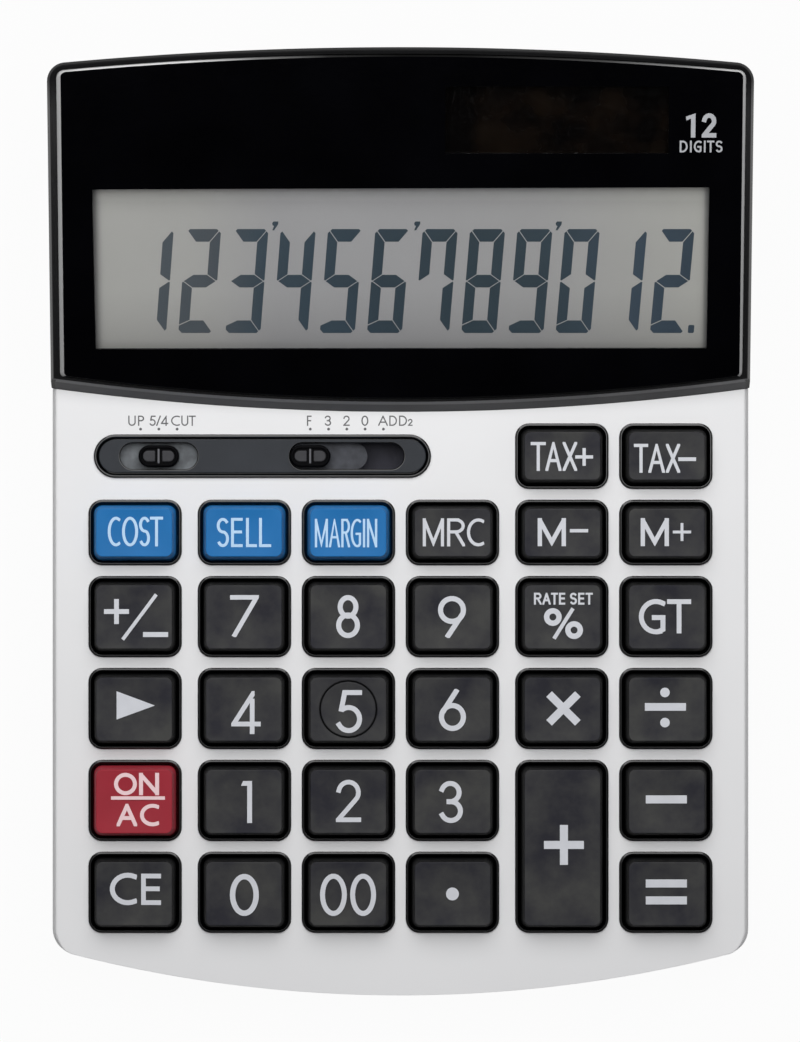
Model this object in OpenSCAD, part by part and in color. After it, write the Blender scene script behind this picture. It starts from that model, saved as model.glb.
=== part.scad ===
// Desktop calculator with 31 keys, two slide switches and a raised, tilted display.
// All pieces are drawn in the keypad's own frame: z = 0 is the top of the face plate,
// x runs to the right and y towards the display. stand() then sets the whole on its feet.

/* [Keys] */
// Width of one key's rim
rim_w = 19.9; // [18:0.1:22]
// Depth of a rim in the two upper rows
low_rim_l = 13.95; // [13:0.05:16]
// Depth of a rim in the four lower rows
high_rim_l = 17.3; // [16:0.1:20]
// Gap between neighbouring rims
rim_gap = 2.45; // [2.2:0.05:3.5]
// Extra gap on each side of the digit block
group_gap = 1.15; // [0:0.05:3]
// Wall of a rim
rim_t = 0.9; // [0.7:0.05:1.2]
// Outer corner radius of a rim
rim_r = 2.9; // [2.6:0.1:3.6]
// Height of a rim above the face plate
rim_rise = 0.6; // [0.3:0.05:1]
// Gap between a key and its rim
key_gap = 0.25; // [0.2:0.05:0.4]
// Height of a key's top above the face plate
key_rise = 4; // [3.5:0.1:6]
// Height at which a key's sides start to taper
key_shoulder = 0.8; // [0.3:0.1:1.5]
// How far each side of a key leans in
key_inset = 0.75; // [0.3:0.05:1]
// Depth of the hollow in a key's top
dish_depth = 0.35; // [0.15:0.05:0.5]
// Wall of a key's skirt
key_wall = 1.2; // [0.9:0.1:1.6]
// Thickness of a key's top
key_roof = 1.6; // [1.2:0.1:2]
// Stroke of a key
key_travel = 2; // [1:0.1:2.2]
// How far a key's flange reaches under its rim
flange_lap = 0.7; // [0.5:0.05:0.8]
// Thickness of a key's flange
flange_t = 0.8; // [0.6:0.1:1.2]
// Radius of the plunger inside a key
plunger_r = 2.2; // [1.6:0.1:2.6]

/* [Slide switches] */
// From the left end of the switch panel to the middle of the rounding slot
rounding_x = 13.9; // [13:0.1:16]
// Distance between the middles of the two slots
switch_pitch = 40.4; // [38:0.1:46]
// From the middle of the decimal slot to the right end of the panel
decimal_x = 18; // [16:0.1:20]
// How far the panel stands in from the left edge of the key block
panel_inset = 1.15; // [0.8:0.05:3]
// Height of the panel's rim
panel_h = 9.2; // [9:0.1:11]
// Distance between two switch positions
detent = 3.93; // [3.4:0.01:4.1]
// Length of a knob
knob_w = 8.4; // [7:0.1:9]
// Width of a knob
knob_h = 4.8; // [4.2:0.1:5]
// Height of a knob above the face plate
knob_rise = 1.4; // [1:0.1:2]
// Half the length of the strip under the rounding knob
rounding_strip = 9.2; // [8.8:0.1:9.6]
// Half the length of the strip under the decimal knob
decimal_strip = 12.3; // [11:0.1:13]

/* [Case] */
// From the key block to the side of the case
side_margin = 8.025; // [7:0.025:12]
// From the key block to the middle of the front edge
front_margin = 13.64; // [12.5:0.02:18]
// From the key block to the middle of the display's lip
lip_margin = 2.66; // [2:0.02:6]
// Wall of the case
wall = 2; // [1.6:0.1:2.4]
// Thickness of the face plate
plate_t = 2; // [1.8:0.1:2.6]
// Thickness of the floor
floor_t = 2; // [1.6:0.1:2.6]
// Depth of the parting line below the face plate
split_z = 5; // [4.5:0.1:6]
// Slope of the keypad on the table, in degrees
tilt = 3; // [1:0.5:6]
// Radius of the curved front edge
front_r = 288; // [200:1:500]
// Radius of the curved rear edge
rear_r = 800; // [500:10:2000]
// Radius of the front corners
front_corner = 5.5; // [4:0.1:8]
// Radius of the rear corners
rear_corner = 4; // [3.4:0.1:6]
// Height of the feet below the floor
foot_h = 1.2; // [0.8:0.1:2.5]
// Radius of a foot
foot_r = 5.5; // [4:0.1:7]
// Depth of the seat of a foot
foot_seat = 0.5; // [0.3:0.1:0.8]
// From the side of the case to the middle of a foot
foot_x = 14; // [11:0.5:25]
// From the front or rear of the case to the middle of a foot
foot_y = 20; // [16:0.5:30]
// Room under the circuit board at the front edge
board_room = 0.8; // [0.6:0.1:4]

/* [Display] */
// Slope of the display on the keypad, in degrees
display_tilt = 10; // [6:0.5:14]
// Height of the display's plane where the lip starts
lip_h = 1.9; // [1.7:0.05:3]
// Radius of the curved lip
lip_r = 560; // [400:10:900]
// How far the lip leans back for each millimetre of its height
lip_lean = 0.8; // [0.4:0.05:1]
// Width of the rim beside and behind the lens
lens_rim = 2.2; // [1.8:0.1:3]
// Width of the rim in front of the lens
lens_front = 0.8; // [0.6:0.1:1.5]
// Thickness of the lens
lens_t = 1.5; // [1:0.1:1.6]
// Thickness of the deck that carries the lens
deck_t = 1.2; // [1:0.1:1.4]
// From the lip to the display window, along the slope
lcd_front = 13.45; // [13:0.05:18]
// Depth of the display window
lcd_h = 33.9; // [28:0.1:45]
// From the side of the case to the display window
lcd_side = 9.75; // [9.5:0.05:15]
// Edge of the display cell hidden beside and behind the window
lcd_border = 2.25; // [1.6:0.05:2.4]
// Edge of the display cell in front of the window, with its contacts
lcd_ledge = 3.4; // [3:0.1:3.8]
// Thickness of the display cell
lcd_t = 2.2; // [1.6:0.1:2.6]
// From the display window to the solar window
window_gap = 7.95; // [7.4:0.05:12]
// Depth of the solar window
solar_h = 14.3; // [10:0.1:20]
// Width of the solar window
solar_w = 47.5; // [35:0.5:60]
// From the side of the case to the solar window
solar_side = 18; // [14:0.5:30]
// From the solar window to the rear edge
solar_rear = 8.3; // [7.5:0.1:12]
// Edge of the solar cell hidden round its window
solar_border = 1.2; // [0.8:0.1:2]
// Thickness of the solar cell
solar_t = 1.1; // [0.8:0.1:1.8]

/* [Inside] */
// Thickness of the keypad frame's web
web_t = 1.2; // [1:0.1:1.6]
// Height that is left of a spring dome when its key is down
dome_spare = 0.5; // [0.3:0.1:1]
// Thickness of the dome sheet
sheet_t = 0.8; // [0.6:0.1:1.2]
// Radius of a spring dome at its foot
dome_r = 5; // [4:0.1:5.4]
// Thickness of the circuit board
board_t = 1.2; // [1:0.1:1.6]
// Radius of a post that carries the circuit board
post_r = 1.5; // [1.3:0.1:1.7]
// Radius of a boss for a case screw
boss_r = 3; // [2.6:0.1:3.2]
// Radius of a case screw
screw_r = 1.2; // [1:0.05:1.4]
// Radius of a small screw
small_screw_r = 0.75; // [0.6:0.05:0.8]
// Diameter of the button cell
cell_d = 11.6; // [9:0.1:12.5]
// Height of the button cell
cell_h = 5.4; // [3:0.1:6]
// Width of the battery cover
door_w = 20; // [18:0.5:26]
// Depth of the battery cover
door_l = 18; // [17:0.5:24]
// Thickness of the battery cover
door_t = 2; // [1.8:0.1:2.4]
// From the side of the case to the middle of the battery cover
door_x = 42; // [36:0.5:60]
// From the rear edge to the middle of the battery cover
door_y = 34; // [28:0.5:50]
// Radius of a wire
wire_r = 0.5; // [0.3:0.05:0.7]

/* [Hidden] */
$fn = 64;
// Faces of a wide arc
arc_fn = 720;
// Overlap that lets a cut run clear through a face
cut = 1;
// Overlap that joins two solids into one
join = 0.1;
// Gap between two cases or between a rim and its hole
seam = 0.1;
// Gap round a piece that drops into a seat
fit = 0.2;
// Gap under a sprung or sliding piece
slip = 0.05;
// Gap round a screw or a pin in its bore
bore_gap = 0.05;
// How far a key's round corners stand inside its flat sides
ease = 0.03;
// Room beside anything that moves
room = 0.5;
// Larger than the whole object
far = 400;

// Key block: [name, column, row, number of rows, colour]
DARK = "#3a3a3f";
KEYS = [
    ["key_tax_plus", 4, 0, 1, DARK],
    ["key_tax_minus", 5, 0, 1, DARK],
    ["key_cost", 0, 1, 1, "#2d70ae"],
    ["key_sell", 1, 1, 1, "#2d70ae"],
    ["key_margin", 2, 1, 1, "#2d70ae"],
    ["key_memory_recall", 3, 1, 1, DARK],
    ["key_memory_minus", 4, 1, 1, DARK],
    ["key_memory_plus", 5, 1, 1, DARK],
    ["key_sign", 0, 2, 1, DARK],
    ["key_7", 1, 2, 1, DARK],
    ["key_8", 2, 2, 1, DARK],
    ["key_9", 3, 2, 1, DARK],
    ["key_percent", 4, 2, 1, DARK],
    ["key_grand_total", 5, 2, 1, DARK],
    ["key_shift", 0, 3, 1, DARK],
    ["key_4", 1, 3, 1, DARK],
    ["key_5", 2, 3, 1, DARK],
    ["key_6", 3, 3, 1, DARK],
    ["key_multiply", 4, 3, 1, DARK],
    ["key_divide", 5, 3, 1, DARK],
    ["key_on_clear", 0, 4, 1, "#961e2d"],
    ["key_1", 1, 4, 1, DARK],
    ["key_2", 2, 4, 1, DARK],
    ["key_3", 3, 4, 1, DARK],
    ["key_add", 4, 4, 2, DARK],
    ["key_subtract", 5, 4, 1, DARK],
    ["key_clear_entry", 0, 5, 1, DARK],
    ["key_0", 1, 5, 1, DARK],
    ["key_00", 2, 5, 1, DARK],
    ["key_point", 3, 5, 1, DARK],
    ["key_equals", 5, 5, 1, DARK],
];
columns = 6;
low_rows = 2;
high_rows = 4;

// Sizes of the key block and the case
block_w = columns * rim_w + (columns - 1) * rim_gap + 2 * group_gap;
block_l = low_rows * low_rim_l + high_rows * high_rim_l + (low_rows + high_rows - 1) * rim_gap;
body_w = block_w + 2 * side_margin;
window_l = lcd_front + lcd_h + window_gap + solar_h;
body_l = front_margin + block_l + lip_margin + window_l * cos(display_tilt) + solar_rear;
block_front = -body_l / 2 + front_margin;
block_rear = block_front + block_l;
lip_y = block_rear + lip_margin;

function rim_l(row) = row < low_rows ? low_rim_l : high_rim_l;
function row_rear(row) = row == 0 ? block_rear : row_rear(row - 1) - rim_l(row - 1) - rim_gap;
function column_x(c) =
    -block_w / 2 + rim_w / 2 + c * (rim_w + rim_gap) + (c > 0 ? group_gap : 0) + (c > 3 ? group_gap : 0);
function key_l(k) = row_rear(k[2]) - row_rear(k[2] + k[3] - 1) + rim_l(k[2] + k[3] - 1);
function key_y(k) = row_rear(k[2]) - key_l(k) / 2;

// Levels below the face plate
dome_h = key_travel + dome_spare;
web_z = -plate_t - web_t;
flange_z = web_z - seam;
key_foot = flange_z - flange_t;
dome_top = key_foot - slip;
sheet_z = dome_top - dome_h;
board_z = sheet_z - sheet_t;
board_foot = board_z - board_t;
front_h = -board_foot + board_room + floor_t + foot_h;

// The case on the table
stand_z = front_h + body_l / 2 * sin(tilt);
function floor_z(y, h) = (h - stand_z - y * sin(tilt)) / cos(tilt);
stand_y = floor_z(body_l / 2, foot_h) * sin(tilt) / 2;
// A point given on the table, in the keypad's frame
function from_table(p) = let (y = p[1] - stand_y, z = p[2] - stand_z)
    [p[0], y * cos(tilt) + z * sin(tilt), -y * sin(tilt) + z * cos(tilt)];

// Centres of the outline's arcs and corners
front_c = -body_l / 2 + front_r;
rear_c = body_l / 2 - rear_r;
front_corner_x = body_w / 2 - front_corner;
front_corner_y = front_c - sqrt(pow(front_r - front_corner, 2) - pow(front_corner_x, 2));
rear_corner_x = body_w / 2 - rear_corner;
rear_corner_y = rear_c + sqrt(pow(rear_r - rear_corner, 2) - pow(rear_corner_x, 2));
corner_reach = 12;

// Openings of the key block
open_inset = rim_t;
open_r = rim_r - rim_t;
skirt_inset = rim_t + key_gap;
skirt_r = rim_r - skirt_inset;
flange_inset = rim_t - flange_lap;

// Switch panel
panel_w = rounding_x + switch_pitch + decimal_x;
panel_left = -block_w / 2 + panel_inset;
panel_x = panel_left + panel_w / 2;
panel_y = row_rear(0) - low_rim_l / 2;
cover_top = 0.2;
cover_t = 1;
cover_skirt = 0.5;
cover_h = panel_h - 2 * rim_t - 2 * seam;
knob_gap = 0.4;
slot_h = knob_h + 2 * knob_gap;
channel_h = cover_h - 2 * cover_skirt;
strip_h = channel_h - 2 * fit;
strip_t = web_t - room;
strip_z = -plate_t - fit - strip_t;
stem_w = 5;
stem_h = 3.6;
wiper_t = 0.25;
wiper_h = 0.8;
rounding_steps = 3;
decimal_steps = 5;
rounding_at = panel_left + rounding_x;
decimal_at = panel_left + rounding_x + switch_pitch;
decimal_rest = decimal_at - (decimal_steps - 1) / 2 * detent;
// The channel in which both shutter strips run
strip_left = rounding_at - (rounding_steps - 1) / 2 * detent - rounding_strip - room;
strip_right = decimal_at + (decimal_steps - 1) / 2 * detent + decimal_strip + room;
strip_middle = (strip_left + strip_right) / 2;
strip_room = strip_right - strip_left;

// Keypad frame, dome sheet and circuit board
frame_margin = 1.6;
frame_w = block_w + 2 * frame_margin;
frame_front = block_front - frame_margin;
frame_rear = block_rear + frame_margin;
sheet_margin = 1;
sleeve_t = 0.6;
sleeve_r = post_r + bore_gap + sleeve_t;
small_head_r = 1.5;
small_head_h = 0.9;
thread_end = 1;
small_thread = web_z - board_z - thread_end;
// Posts stand where four keys meet, between a column and the next, in front of a row
function post_points() = [
    for (p = [[0, 0], [2, 0], [4, 0], [0, 2], [2, 2], [4, 2], [0, 4], [2, 4], [4, 3]])
        [(column_x(p[0]) + column_x(p[0] + 1)) / 2, row_rear(p[1] + 1) + rim_gap / 2]
];
// Middles of the domes: one under each plunger
function dome_points() = [
    for (k = KEYS) for (y = k[3] == 1 ? [0] : [-1, 1])
        [column_x(k[1]), key_y(k) + y * (high_rim_l + rim_gap) / 2]
];

// Display
pocket_gap = 0.15;
frame_wall = 0.8;
lcd_frame_t = 1;
lcd_w = body_w - 2 * lcd_side;
lcd_rear = lcd_front + lcd_h;
lcd_top = -(lens_t + deck_t);
reflector_t = 0.2;
lcd_foot = lcd_top - seam - lcd_t;
lcd_post_r = 1.6;
lcd_post_x = lcd_w / 2 + lcd_border + fit + frame_wall + room + lcd_post_r;
lcd_post_inset = 6;
lcd_thread = lcd_t - fit;
window_extra = 0.5;
ribbon_w = 108;
ribbon_t = 0.25;
ribbon_bend = 1;
ribbon_lap = 3;
solar_x = body_w / 2 - solar_side - solar_w / 2;
solar_v = window_l - solar_h / 2;

// Tongue of the face plate below the display's lip
rebate = 0.6;
tongue_gap = 0.7;
tongue_rear = lip_y + (lcd_front - lcd_ledge - fit - frame_wall) * cos(display_tilt)
    - lcd_top * sin(display_tilt) - tongue_gap;

// Case screws: [x, y]
boss_wall = 2;
boss_room = 0.4;
head_r = 2.2;
head_h = 1.6;
head_gap = 0.2;
thread_l = 3.2;
head_wall = 1.2;
lower_boss_r = head_r + head_gap + head_wall;
front_screw_x = 25;
front_screw_y = frame_front - lower_boss_r - boss_room;
middle_screw_x = body_w / 2 - foot_x;
middle_screw_y = tongue_rear - boss_r - boss_room;
board_rear = middle_screw_y - lower_boss_r - boss_room;
rear_screw_inset = 3.5;
rear_screw_x = body_w / 2 - wall - boss_r - rear_screw_inset;
rear_screw_y = body_l / 2 - wall - boss_r - rear_screw_inset;
FRONT_SCREWS = [for (s = [-1, 1]) [s * front_screw_x, front_screw_y]];
MIDDLE_SCREWS = [for (s = [-1, 1]) [s * middle_screw_x, middle_screw_y]];
REAR_SCREWS = [for (s = [-1, 1]) [s * rear_screw_x, rear_screw_y]];

// Battery compartment, measured from the table
door_gap = 0.2;
bay_wall = 2;
bay_roof = 1.2;
contact_room = 1.3;
contact_t = 0.3;
contact_w = 3;
tab_h = 1.6;
pin_r = 0.5;
pin_l = 1.2;
finger_r = 3;
finger_depth = 1;
finger_w = door_w / 2;
door_at = [-body_w / 2 + door_x, body_l / 2 - door_y];
cell_foot = foot_h + door_t + slip;
cell_top = cell_foot + cell_h;
bay_ceiling = cell_top + contact_room;
bay_top = bay_ceiling + bay_roof;
hinge_y = door_at[1] - door_l / 2 + door_t / 2;
hinge_z = foot_h + door_t / 2;

// Wires to the board
wire_sides = 8;
lead_gap = 6;
lead_drop = 3;
lead_bend = 2;
lead_lap = 3;

// Sets the keypad's frame on the table
module stand() {
    translate([0, stand_y, stand_z]) rotate([tilt, 0, 0]) children();
}

// The table's frame, seen from the keypad
module table() {
    rotate([-tilt, 0, 0]) translate([0, -stand_y, -stand_z]) children();
}

// The display's frame: v runs up the slope from the lip, w out of the display
module on_display() {
    translate([0, lip_y, lip_h]) rotate([display_tilt, 0, 0]) children();
}

module block(w, l, z0, z1) {
    translate([-w / 2, -l / 2, z0]) cube([w, l, z1 - z0]);
}

module above_table(h) {
    table() block(far, far, h, far);
}

module below_display(w) {
    on_display() block(far, far, -far, w);
}

module above_display(w) {
    on_display() block(far, far, w, far);
}

// A rectangle with round corners
module round_rect(w, l, r) {
    square([w - 2 * r, l], center = true);
    square([w, l - 2 * r], center = true);
    for (sx = [-1, 1], sy = [-1, 1])
        translate([sx * (w / 2 - r), sy * (l / 2 - r)]) circle(r);
}

// A strip with half-round ends
module pill(w, h) {
    square([w - h, h], center = true);
    for (s = [-1, 1]) translate([s * (w - h) / 2, 0]) circle(h / 2);
}

// Everything outside a corner's tangent points
module corner_cut(s, x, y, c, big, small) {
    reach = (big + corner_reach) / (big - small);
    side = s * (body_w / 2 + corner_reach);
    polygon([
        [s * x, y],
        [side, y],
        [side, y + sign(y) * corner_reach],
        [s * x * reach, c + (y - c) * reach],
    ]);
}

// The case's outline, with the front and rear edges curved
module outline(inset = 0) {
    difference() {
        intersection() {
            square([body_w - 2 * inset, 2 * body_l], center = true);
            translate([0, front_c]) circle(front_r - inset, $fn = arc_fn);
            translate([0, rear_c]) circle(rear_r - inset, $fn = arc_fn);
        }
        for (s = [-1, 1]) {
            corner_cut(s, front_corner_x, front_corner_y, front_c, front_r, front_corner);
            corner_cut(s, rear_corner_x, rear_corner_y, rear_c, rear_r, rear_corner);
        }
    }
    for (s = [-1, 1]) {
        translate([s * front_corner_x, front_corner_y]) circle(front_corner - inset);
        translate([s * rear_corner_x, rear_corner_y]) circle(rear_corner - inset);
    }
}

// Everything behind the lip's curve
module behind_lip(inset = 0) {
    translate([0, lip_y + lip_r]) circle(lip_r - inset, $fn = arc_fn);
}

// One key's opening, drawn in by an amount from the rim's outside
module key_shape(k, inset, r) {
    translate([column_x(k[1]), key_y(k)]) round_rect(rim_w - 2 * inset, key_l(k) - 2 * inset, r);
}

module all_keys(inset, r) {
    for (k = KEYS) key_shape(k, inset, r);
}

module at_posts() {
    at_points(post_points()) children();
}

module at_points(points) {
    for (p = points) translate(p) children();
}

module at_lcd_posts() {
    for (s = [-1, 1], v = [lcd_front + lcd_post_inset, lcd_rear - lcd_post_inset])
        on_display() translate([s * lcd_post_x, v, 0]) children();
}

module panel_shape(inset) {
    translate([panel_x, panel_y]) pill(panel_w - 2 * inset, panel_h - 2 * inset);
}

// A slot long enough for a knob to pass its positions
module knob_slot(x, steps) {
    translate([x, panel_y]) pill(knob_w + (steps - 1) * detent + 2 * fit, slot_h);
}

// A ring of points round place i of a wire whose route keeps its x
function unit(v) = v / norm(v);
function wire_ring(points, i) =
    let (
        before = i == 0 ? [0, 0, 0] : unit(points[i] - points[i - 1]),
        after = i == len(points) - 1 ? [0, 0, 0] : unit(points[i + 1] - points[i]),
        across = cross(unit(before + after), [1, 0, 0])
    )
    [
        for (k = [0 : wire_sides - 1])
            points[i] + wire_r * (cos(k * 360 / wire_sides) * [1, 0, 0] + sin(k * 360 / wire_sides) * across)
    ];

// A wire through a list of points
module wire(points) {
    last = len(points) - 1;
    polyhedron(
        points = [for (i = [0 : last]) each wire_ring(points, i)],
        faces = concat(
            [[for (k = [0 : wire_sides - 1]) k]],
            [for (i = [0 : last - 1], k = [0 : wire_sides - 1])
                let (a = i * wire_sides, next = (k + 1) % wire_sides)
                [a + k, a + wire_sides + k, a + wire_sides + next, a + next]],
            [[for (k = [wire_sides - 1 : -1 : 0]) last * wire_sides + k]]
        )
    );
}

// A key: skirt, tapered cap with a hollowed top, flange and plunger
module key(k) {
    w = rim_w - 2 * skirt_inset;
    l = key_l(k) - 2 * skirt_inset;
    half_w = w / 2 - key_inset;
    dish_r = (pow(half_w, 2) + pow(dish_depth, 2)) / (2 * dish_depth);
    taper_h = key_rise - key_shoulder;
    cavity_top = key_rise - key_roof;
    plungers = k[3] == 1 ? [0] : [for (s = [-1, 1]) s * (high_rim_l + rim_gap) / 2];
    color(k[4]) translate([column_x(k[1]), key_y(k), 0]) {
        difference() {
            union() {
                translate([0, 0, flange_z - join])
                    linear_extrude(key_shoulder - flange_z + join) round_rect(w, l, skirt_r);
                for (sx = [-1, 1], sy = [-1, 1])
                    translate([sx * (w / 2 - skirt_r), sy * (l / 2 - skirt_r), key_shoulder - join])
                        cylinder(h = taper_h + join, r1 = skirt_r - ease, r2 = skirt_r - key_inset - ease);
                rotate([90, 0, 0]) linear_extrude(l - 2 * skirt_r, center = true)
                    cap_profile(w);
                rotate([90, 0, 90]) linear_extrude(w - 2 * skirt_r, center = true)
                    cap_profile(l);
                translate([0, 0, key_foot]) linear_extrude(flange_t)
                    round_rect(rim_w - 2 * flange_inset, key_l(k) - 2 * flange_inset, rim_r - flange_inset);
            }
            translate([0, 0, key_foot - cut]) linear_extrude(cavity_top - key_foot + cut)
                round_rect(w - 2 * key_wall, l - 2 * key_wall, skirt_r / 2);
            translate([0, 0, key_rise - dish_depth + dish_r]) rotate([90, 0, 0])
                cylinder(h = l + 2 * cut, r = dish_r, center = true, $fn = arc_fn);
        }
        for (y = plungers) translate([0, y, key_foot])
            cylinder(h = cavity_top - key_foot + join, r = plunger_r);
    }
}

// Side view of a key's tapered cap
module cap_profile(w) {
    polygon([
        [-w / 2, key_shoulder - join],
        [w / 2, key_shoulder - join],
        [w / 2, key_shoulder],
        [w / 2 - key_inset, key_rise],
        [-w / 2 + key_inset, key_rise],
        [-w / 2, key_shoulder],
    ]);
}

// Silver face plate with its walls, the tongue under the display, bosses and posts
module upper_case() {
    color("#d4d5d6") difference() {
        union() {
            translate([0, 0, -plate_t]) linear_extrude(plate_t) difference() {
                outline();
                behind_lip(-seam);
            }
            translate([0, 0, -plate_t]) linear_extrude(plate_t - rebate) intersection() {
                outline(wall + fit);
                translate([0, tongue_rear - body_l]) square([body_w, 2 * body_l], center = true);
            }
            translate([0, 0, -split_z]) linear_extrude(split_z) difference() {
                outline();
                outline(wall);
                behind_lip(-seam);
            }
            at_points(concat(FRONT_SCREWS, MIDDLE_SCREWS)) translate([0, 0, -split_z])
                cylinder(h = split_z - plate_t + join, r = boss_r);
            at_posts() translate([0, 0, board_z]) cylinder(h = -plate_t - board_z + join, r = post_r);
        }
        translate([0, 0, -plate_t - cut]) linear_extrude(plate_t + 2 * cut) {
            all_keys(-seam, rim_r + seam);
            panel_shape(-seam);
        }
        at_points(concat(FRONT_SCREWS, MIDDLE_SCREWS)) translate([0, 0, -split_z - cut])
            cylinder(h = thread_l + bore_gap + cut, r = screw_r + bore_gap);
        at_posts() translate([0, 0, board_z - cut])
            cylinder(h = small_thread + bore_gap + cut, r = small_screw_r + bore_gap);
    }
}

// Black housing with the sloped lip, the deck below the lens, bosses and posts
module display_housing() {
    color("#1a1a1b") difference() {
        union() {
            difference() {
                intersection() {
                    translate([0, 0, -split_z]) linear_extrude(far / 4) outline();
                    below_display(0);
                    lip_solid();
                }
                intersection() {
                    translate([0, 0, -split_z - cut]) linear_extrude(far / 4) intersection() {
                        outline(wall);
                        behind_lip(wall);
                    }
                    below_display(lcd_top);
                }
                translate([0, 0, -split_z - cut]) linear_extrude(split_z - rebate + cut) outline(wall);
            }
            intersection() {
                at_points(REAR_SCREWS) translate([0, 0, -split_z]) cylinder(h = far / 4, r = boss_r);
                below_display(lcd_top + join);
            }
            at_lcd_posts() translate([0, 0, lcd_foot - reflector_t])
                cylinder(h = lcd_top - lcd_foot + reflector_t + join, r = lcd_post_r);
        }
        intersection() {
            linear_extrude(far / 4) lens_shape(-pocket_gap);
            above_display(-lens_t);
        }
        on_display() translate([0, (lcd_front + lcd_rear) / 2, 0])
            block(lcd_w + 2 * window_extra, lcd_h + 2 * window_extra, lcd_top - cut, 0);
        on_display() translate([solar_x, solar_v, 0])
            block(solar_w + 2 * window_extra, solar_h + 2 * window_extra, lcd_top - cut, 0);
        at_points(REAR_SCREWS) translate([0, 0, -split_z - cut])
            cylinder(h = thread_l + bore_gap + cut, r = screw_r + bore_gap);
        at_lcd_posts() translate([0, 0, lcd_foot - reflector_t - cut])
            cylinder(h = lcd_thread + bore_gap + cut, r = small_screw_r + bore_gap);
    }
}

// Solid behind the lip: upright below the plate, leaning back above it
module lip_solid() {
    lean_h = lip_r / 10;
    translate([0, lip_y + lip_r, 0]) {
        translate([0, 0, -split_z - cut]) cylinder(h = split_z + cut, r = lip_r, $fn = arc_fn);
        cylinder(h = lean_h, r1 = lip_r, r2 = lip_r - lip_lean * lean_h, $fn = arc_fn);
    }
}

// Outline of the lens
module lens_shape(inset = 0) {
    lip_run = lip_lean * lip_h / (1 - lip_lean * tan(display_tilt));
    intersection() {
        outline(lens_rim + inset);
        behind_lip(lip_run + lens_front + inset);
    }
}

// Clear lens with a black print behind it
module display_lens() {
    color("#050506") intersection() {
        linear_extrude(far / 4) lens_shape();
        below_display(0);
        above_display(-lens_t);
    }
}

// Tray of the case, with bosses and the battery compartment
module lower_case() {
    screws = concat(FRONT_SCREWS, MIDDLE_SCREWS, REAR_SCREWS);
    color("#232325") difference() {
        union() {
            difference() {
                intersection() {
                    translate([0, 0, -far / 4]) linear_extrude(far / 4 - split_z) outline();
                    above_table(foot_h);
                }
                intersection() {
                    translate([0, 0, -far / 4]) linear_extrude(far / 4 - split_z + cut) outline(wall);
                    above_table(foot_h + floor_t);
                }
            }
            intersection() {
                translate([0, 0, -far / 4]) linear_extrude(far / 4 - split_z) intersection() {
                    outline(wall / 2);
                    at_points(screws) circle(lower_boss_r);
                }
                above_table(foot_h);
            }
            table() translate(door_at) block(
                door_w + 2 * (door_gap + bay_wall), door_l + 2 * (door_gap + bay_wall), foot_h, bay_top
            );
        }
        at_points(screws) {
            translate([0, 0, -split_z - boss_wall - far / 4]) cylinder(h = far / 4, r = head_r + head_gap);
            translate([0, 0, -split_z - boss_wall - cut])
                cylinder(h = boss_wall + 2 * cut, r = screw_r + bore_gap);
        }
        table() {
            at_feet() translate([0, 0, foot_h - cut]) cylinder(h = foot_seat + cut, r = foot_r + seam);
            translate(door_at) {
                block(door_w + 2 * door_gap, door_l + 2 * door_gap, foot_h - cut, foot_h + door_t + slip);
                translate([0, 0, foot_h]) cylinder(h = bay_ceiling - foot_h, r = cell_d / 2 + fit);
                translate([cell_d / 2 + contact_t / 2 + bore_gap, 0, 0])
                    block(contact_t + 2 * bore_gap, contact_w + 2 * fit, foot_h + door_t, bay_top + cut);
                translate([0, -cell_d / 4, 0])
                    block(contact_w + 2 * fit, contact_t + 2 * bore_gap, bay_ceiling - cut, bay_top + cut);
                translate([0, door_l / 2 + door_gap, foot_h - finger_r + finger_depth]) rotate([0, 90, 0])
                    cylinder(h = finger_w, r = finger_r, center = true);
            }
            translate([door_at[0], hinge_y, hinge_z]) rotate([0, 90, 0])
                cylinder(h = door_w + 2 * (pin_l + door_gap), r = pin_r + bore_gap, center = true);
        }
    }
}

module at_feet() {
    for (sx = [-1, 1], sy = [-1, 1])
        translate([sx * (body_w / 2 - foot_x), sy * (body_l / 2 - foot_y), 0]) children();
}

// Black web below the plate, with a rim round each key and round the switch panel
module keypad_frame() {
    color("#1c1c1e") difference() {
        union() {
            translate([0, 0, web_z]) linear_extrude(web_t) difference() {
                translate([0, (frame_front + frame_rear) / 2])
                    round_rect(frame_w, frame_rear - frame_front, rim_r);
                all_keys(open_inset, open_r);
                at_posts() circle(post_r + bore_gap);
            }
            translate([0, 0, -plate_t - join]) linear_extrude(plate_t + rim_rise + join) difference() {
                union() {
                    all_keys(0, rim_r);
                    panel_shape(0);
                }
                all_keys(open_inset, open_r);
                panel_shape(rim_t);
            }
            translate([0, 0, sheet_z]) linear_extrude(web_z - sheet_z + join) difference() {
                at_posts() circle(sleeve_r);
                at_posts() circle(post_r + bore_gap);
            }
        }
        translate([strip_middle, panel_y, 0])
            block(strip_room, channel_h, web_z - cut, -plate_t);
    }
}

// Grey cover of the slide switches
module switch_plate() {
    color("#44474c") difference() {
        translate([0, 0, -plate_t]) linear_extrude(plate_t + cover_top) panel_shape(rim_t + seam);
        translate([0, 0, -plate_t - cut]) linear_extrude(plate_t + cover_top - cover_t + cut)
            panel_shape(rim_t + seam + cover_skirt);
        translate([0, 0, -plate_t - cut]) linear_extrude(plate_t + cover_top + 2 * cut) {
            knob_slot(rounding_at, rounding_steps);
            knob_slot(decimal_at, decimal_steps);
        }
    }
}

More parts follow.
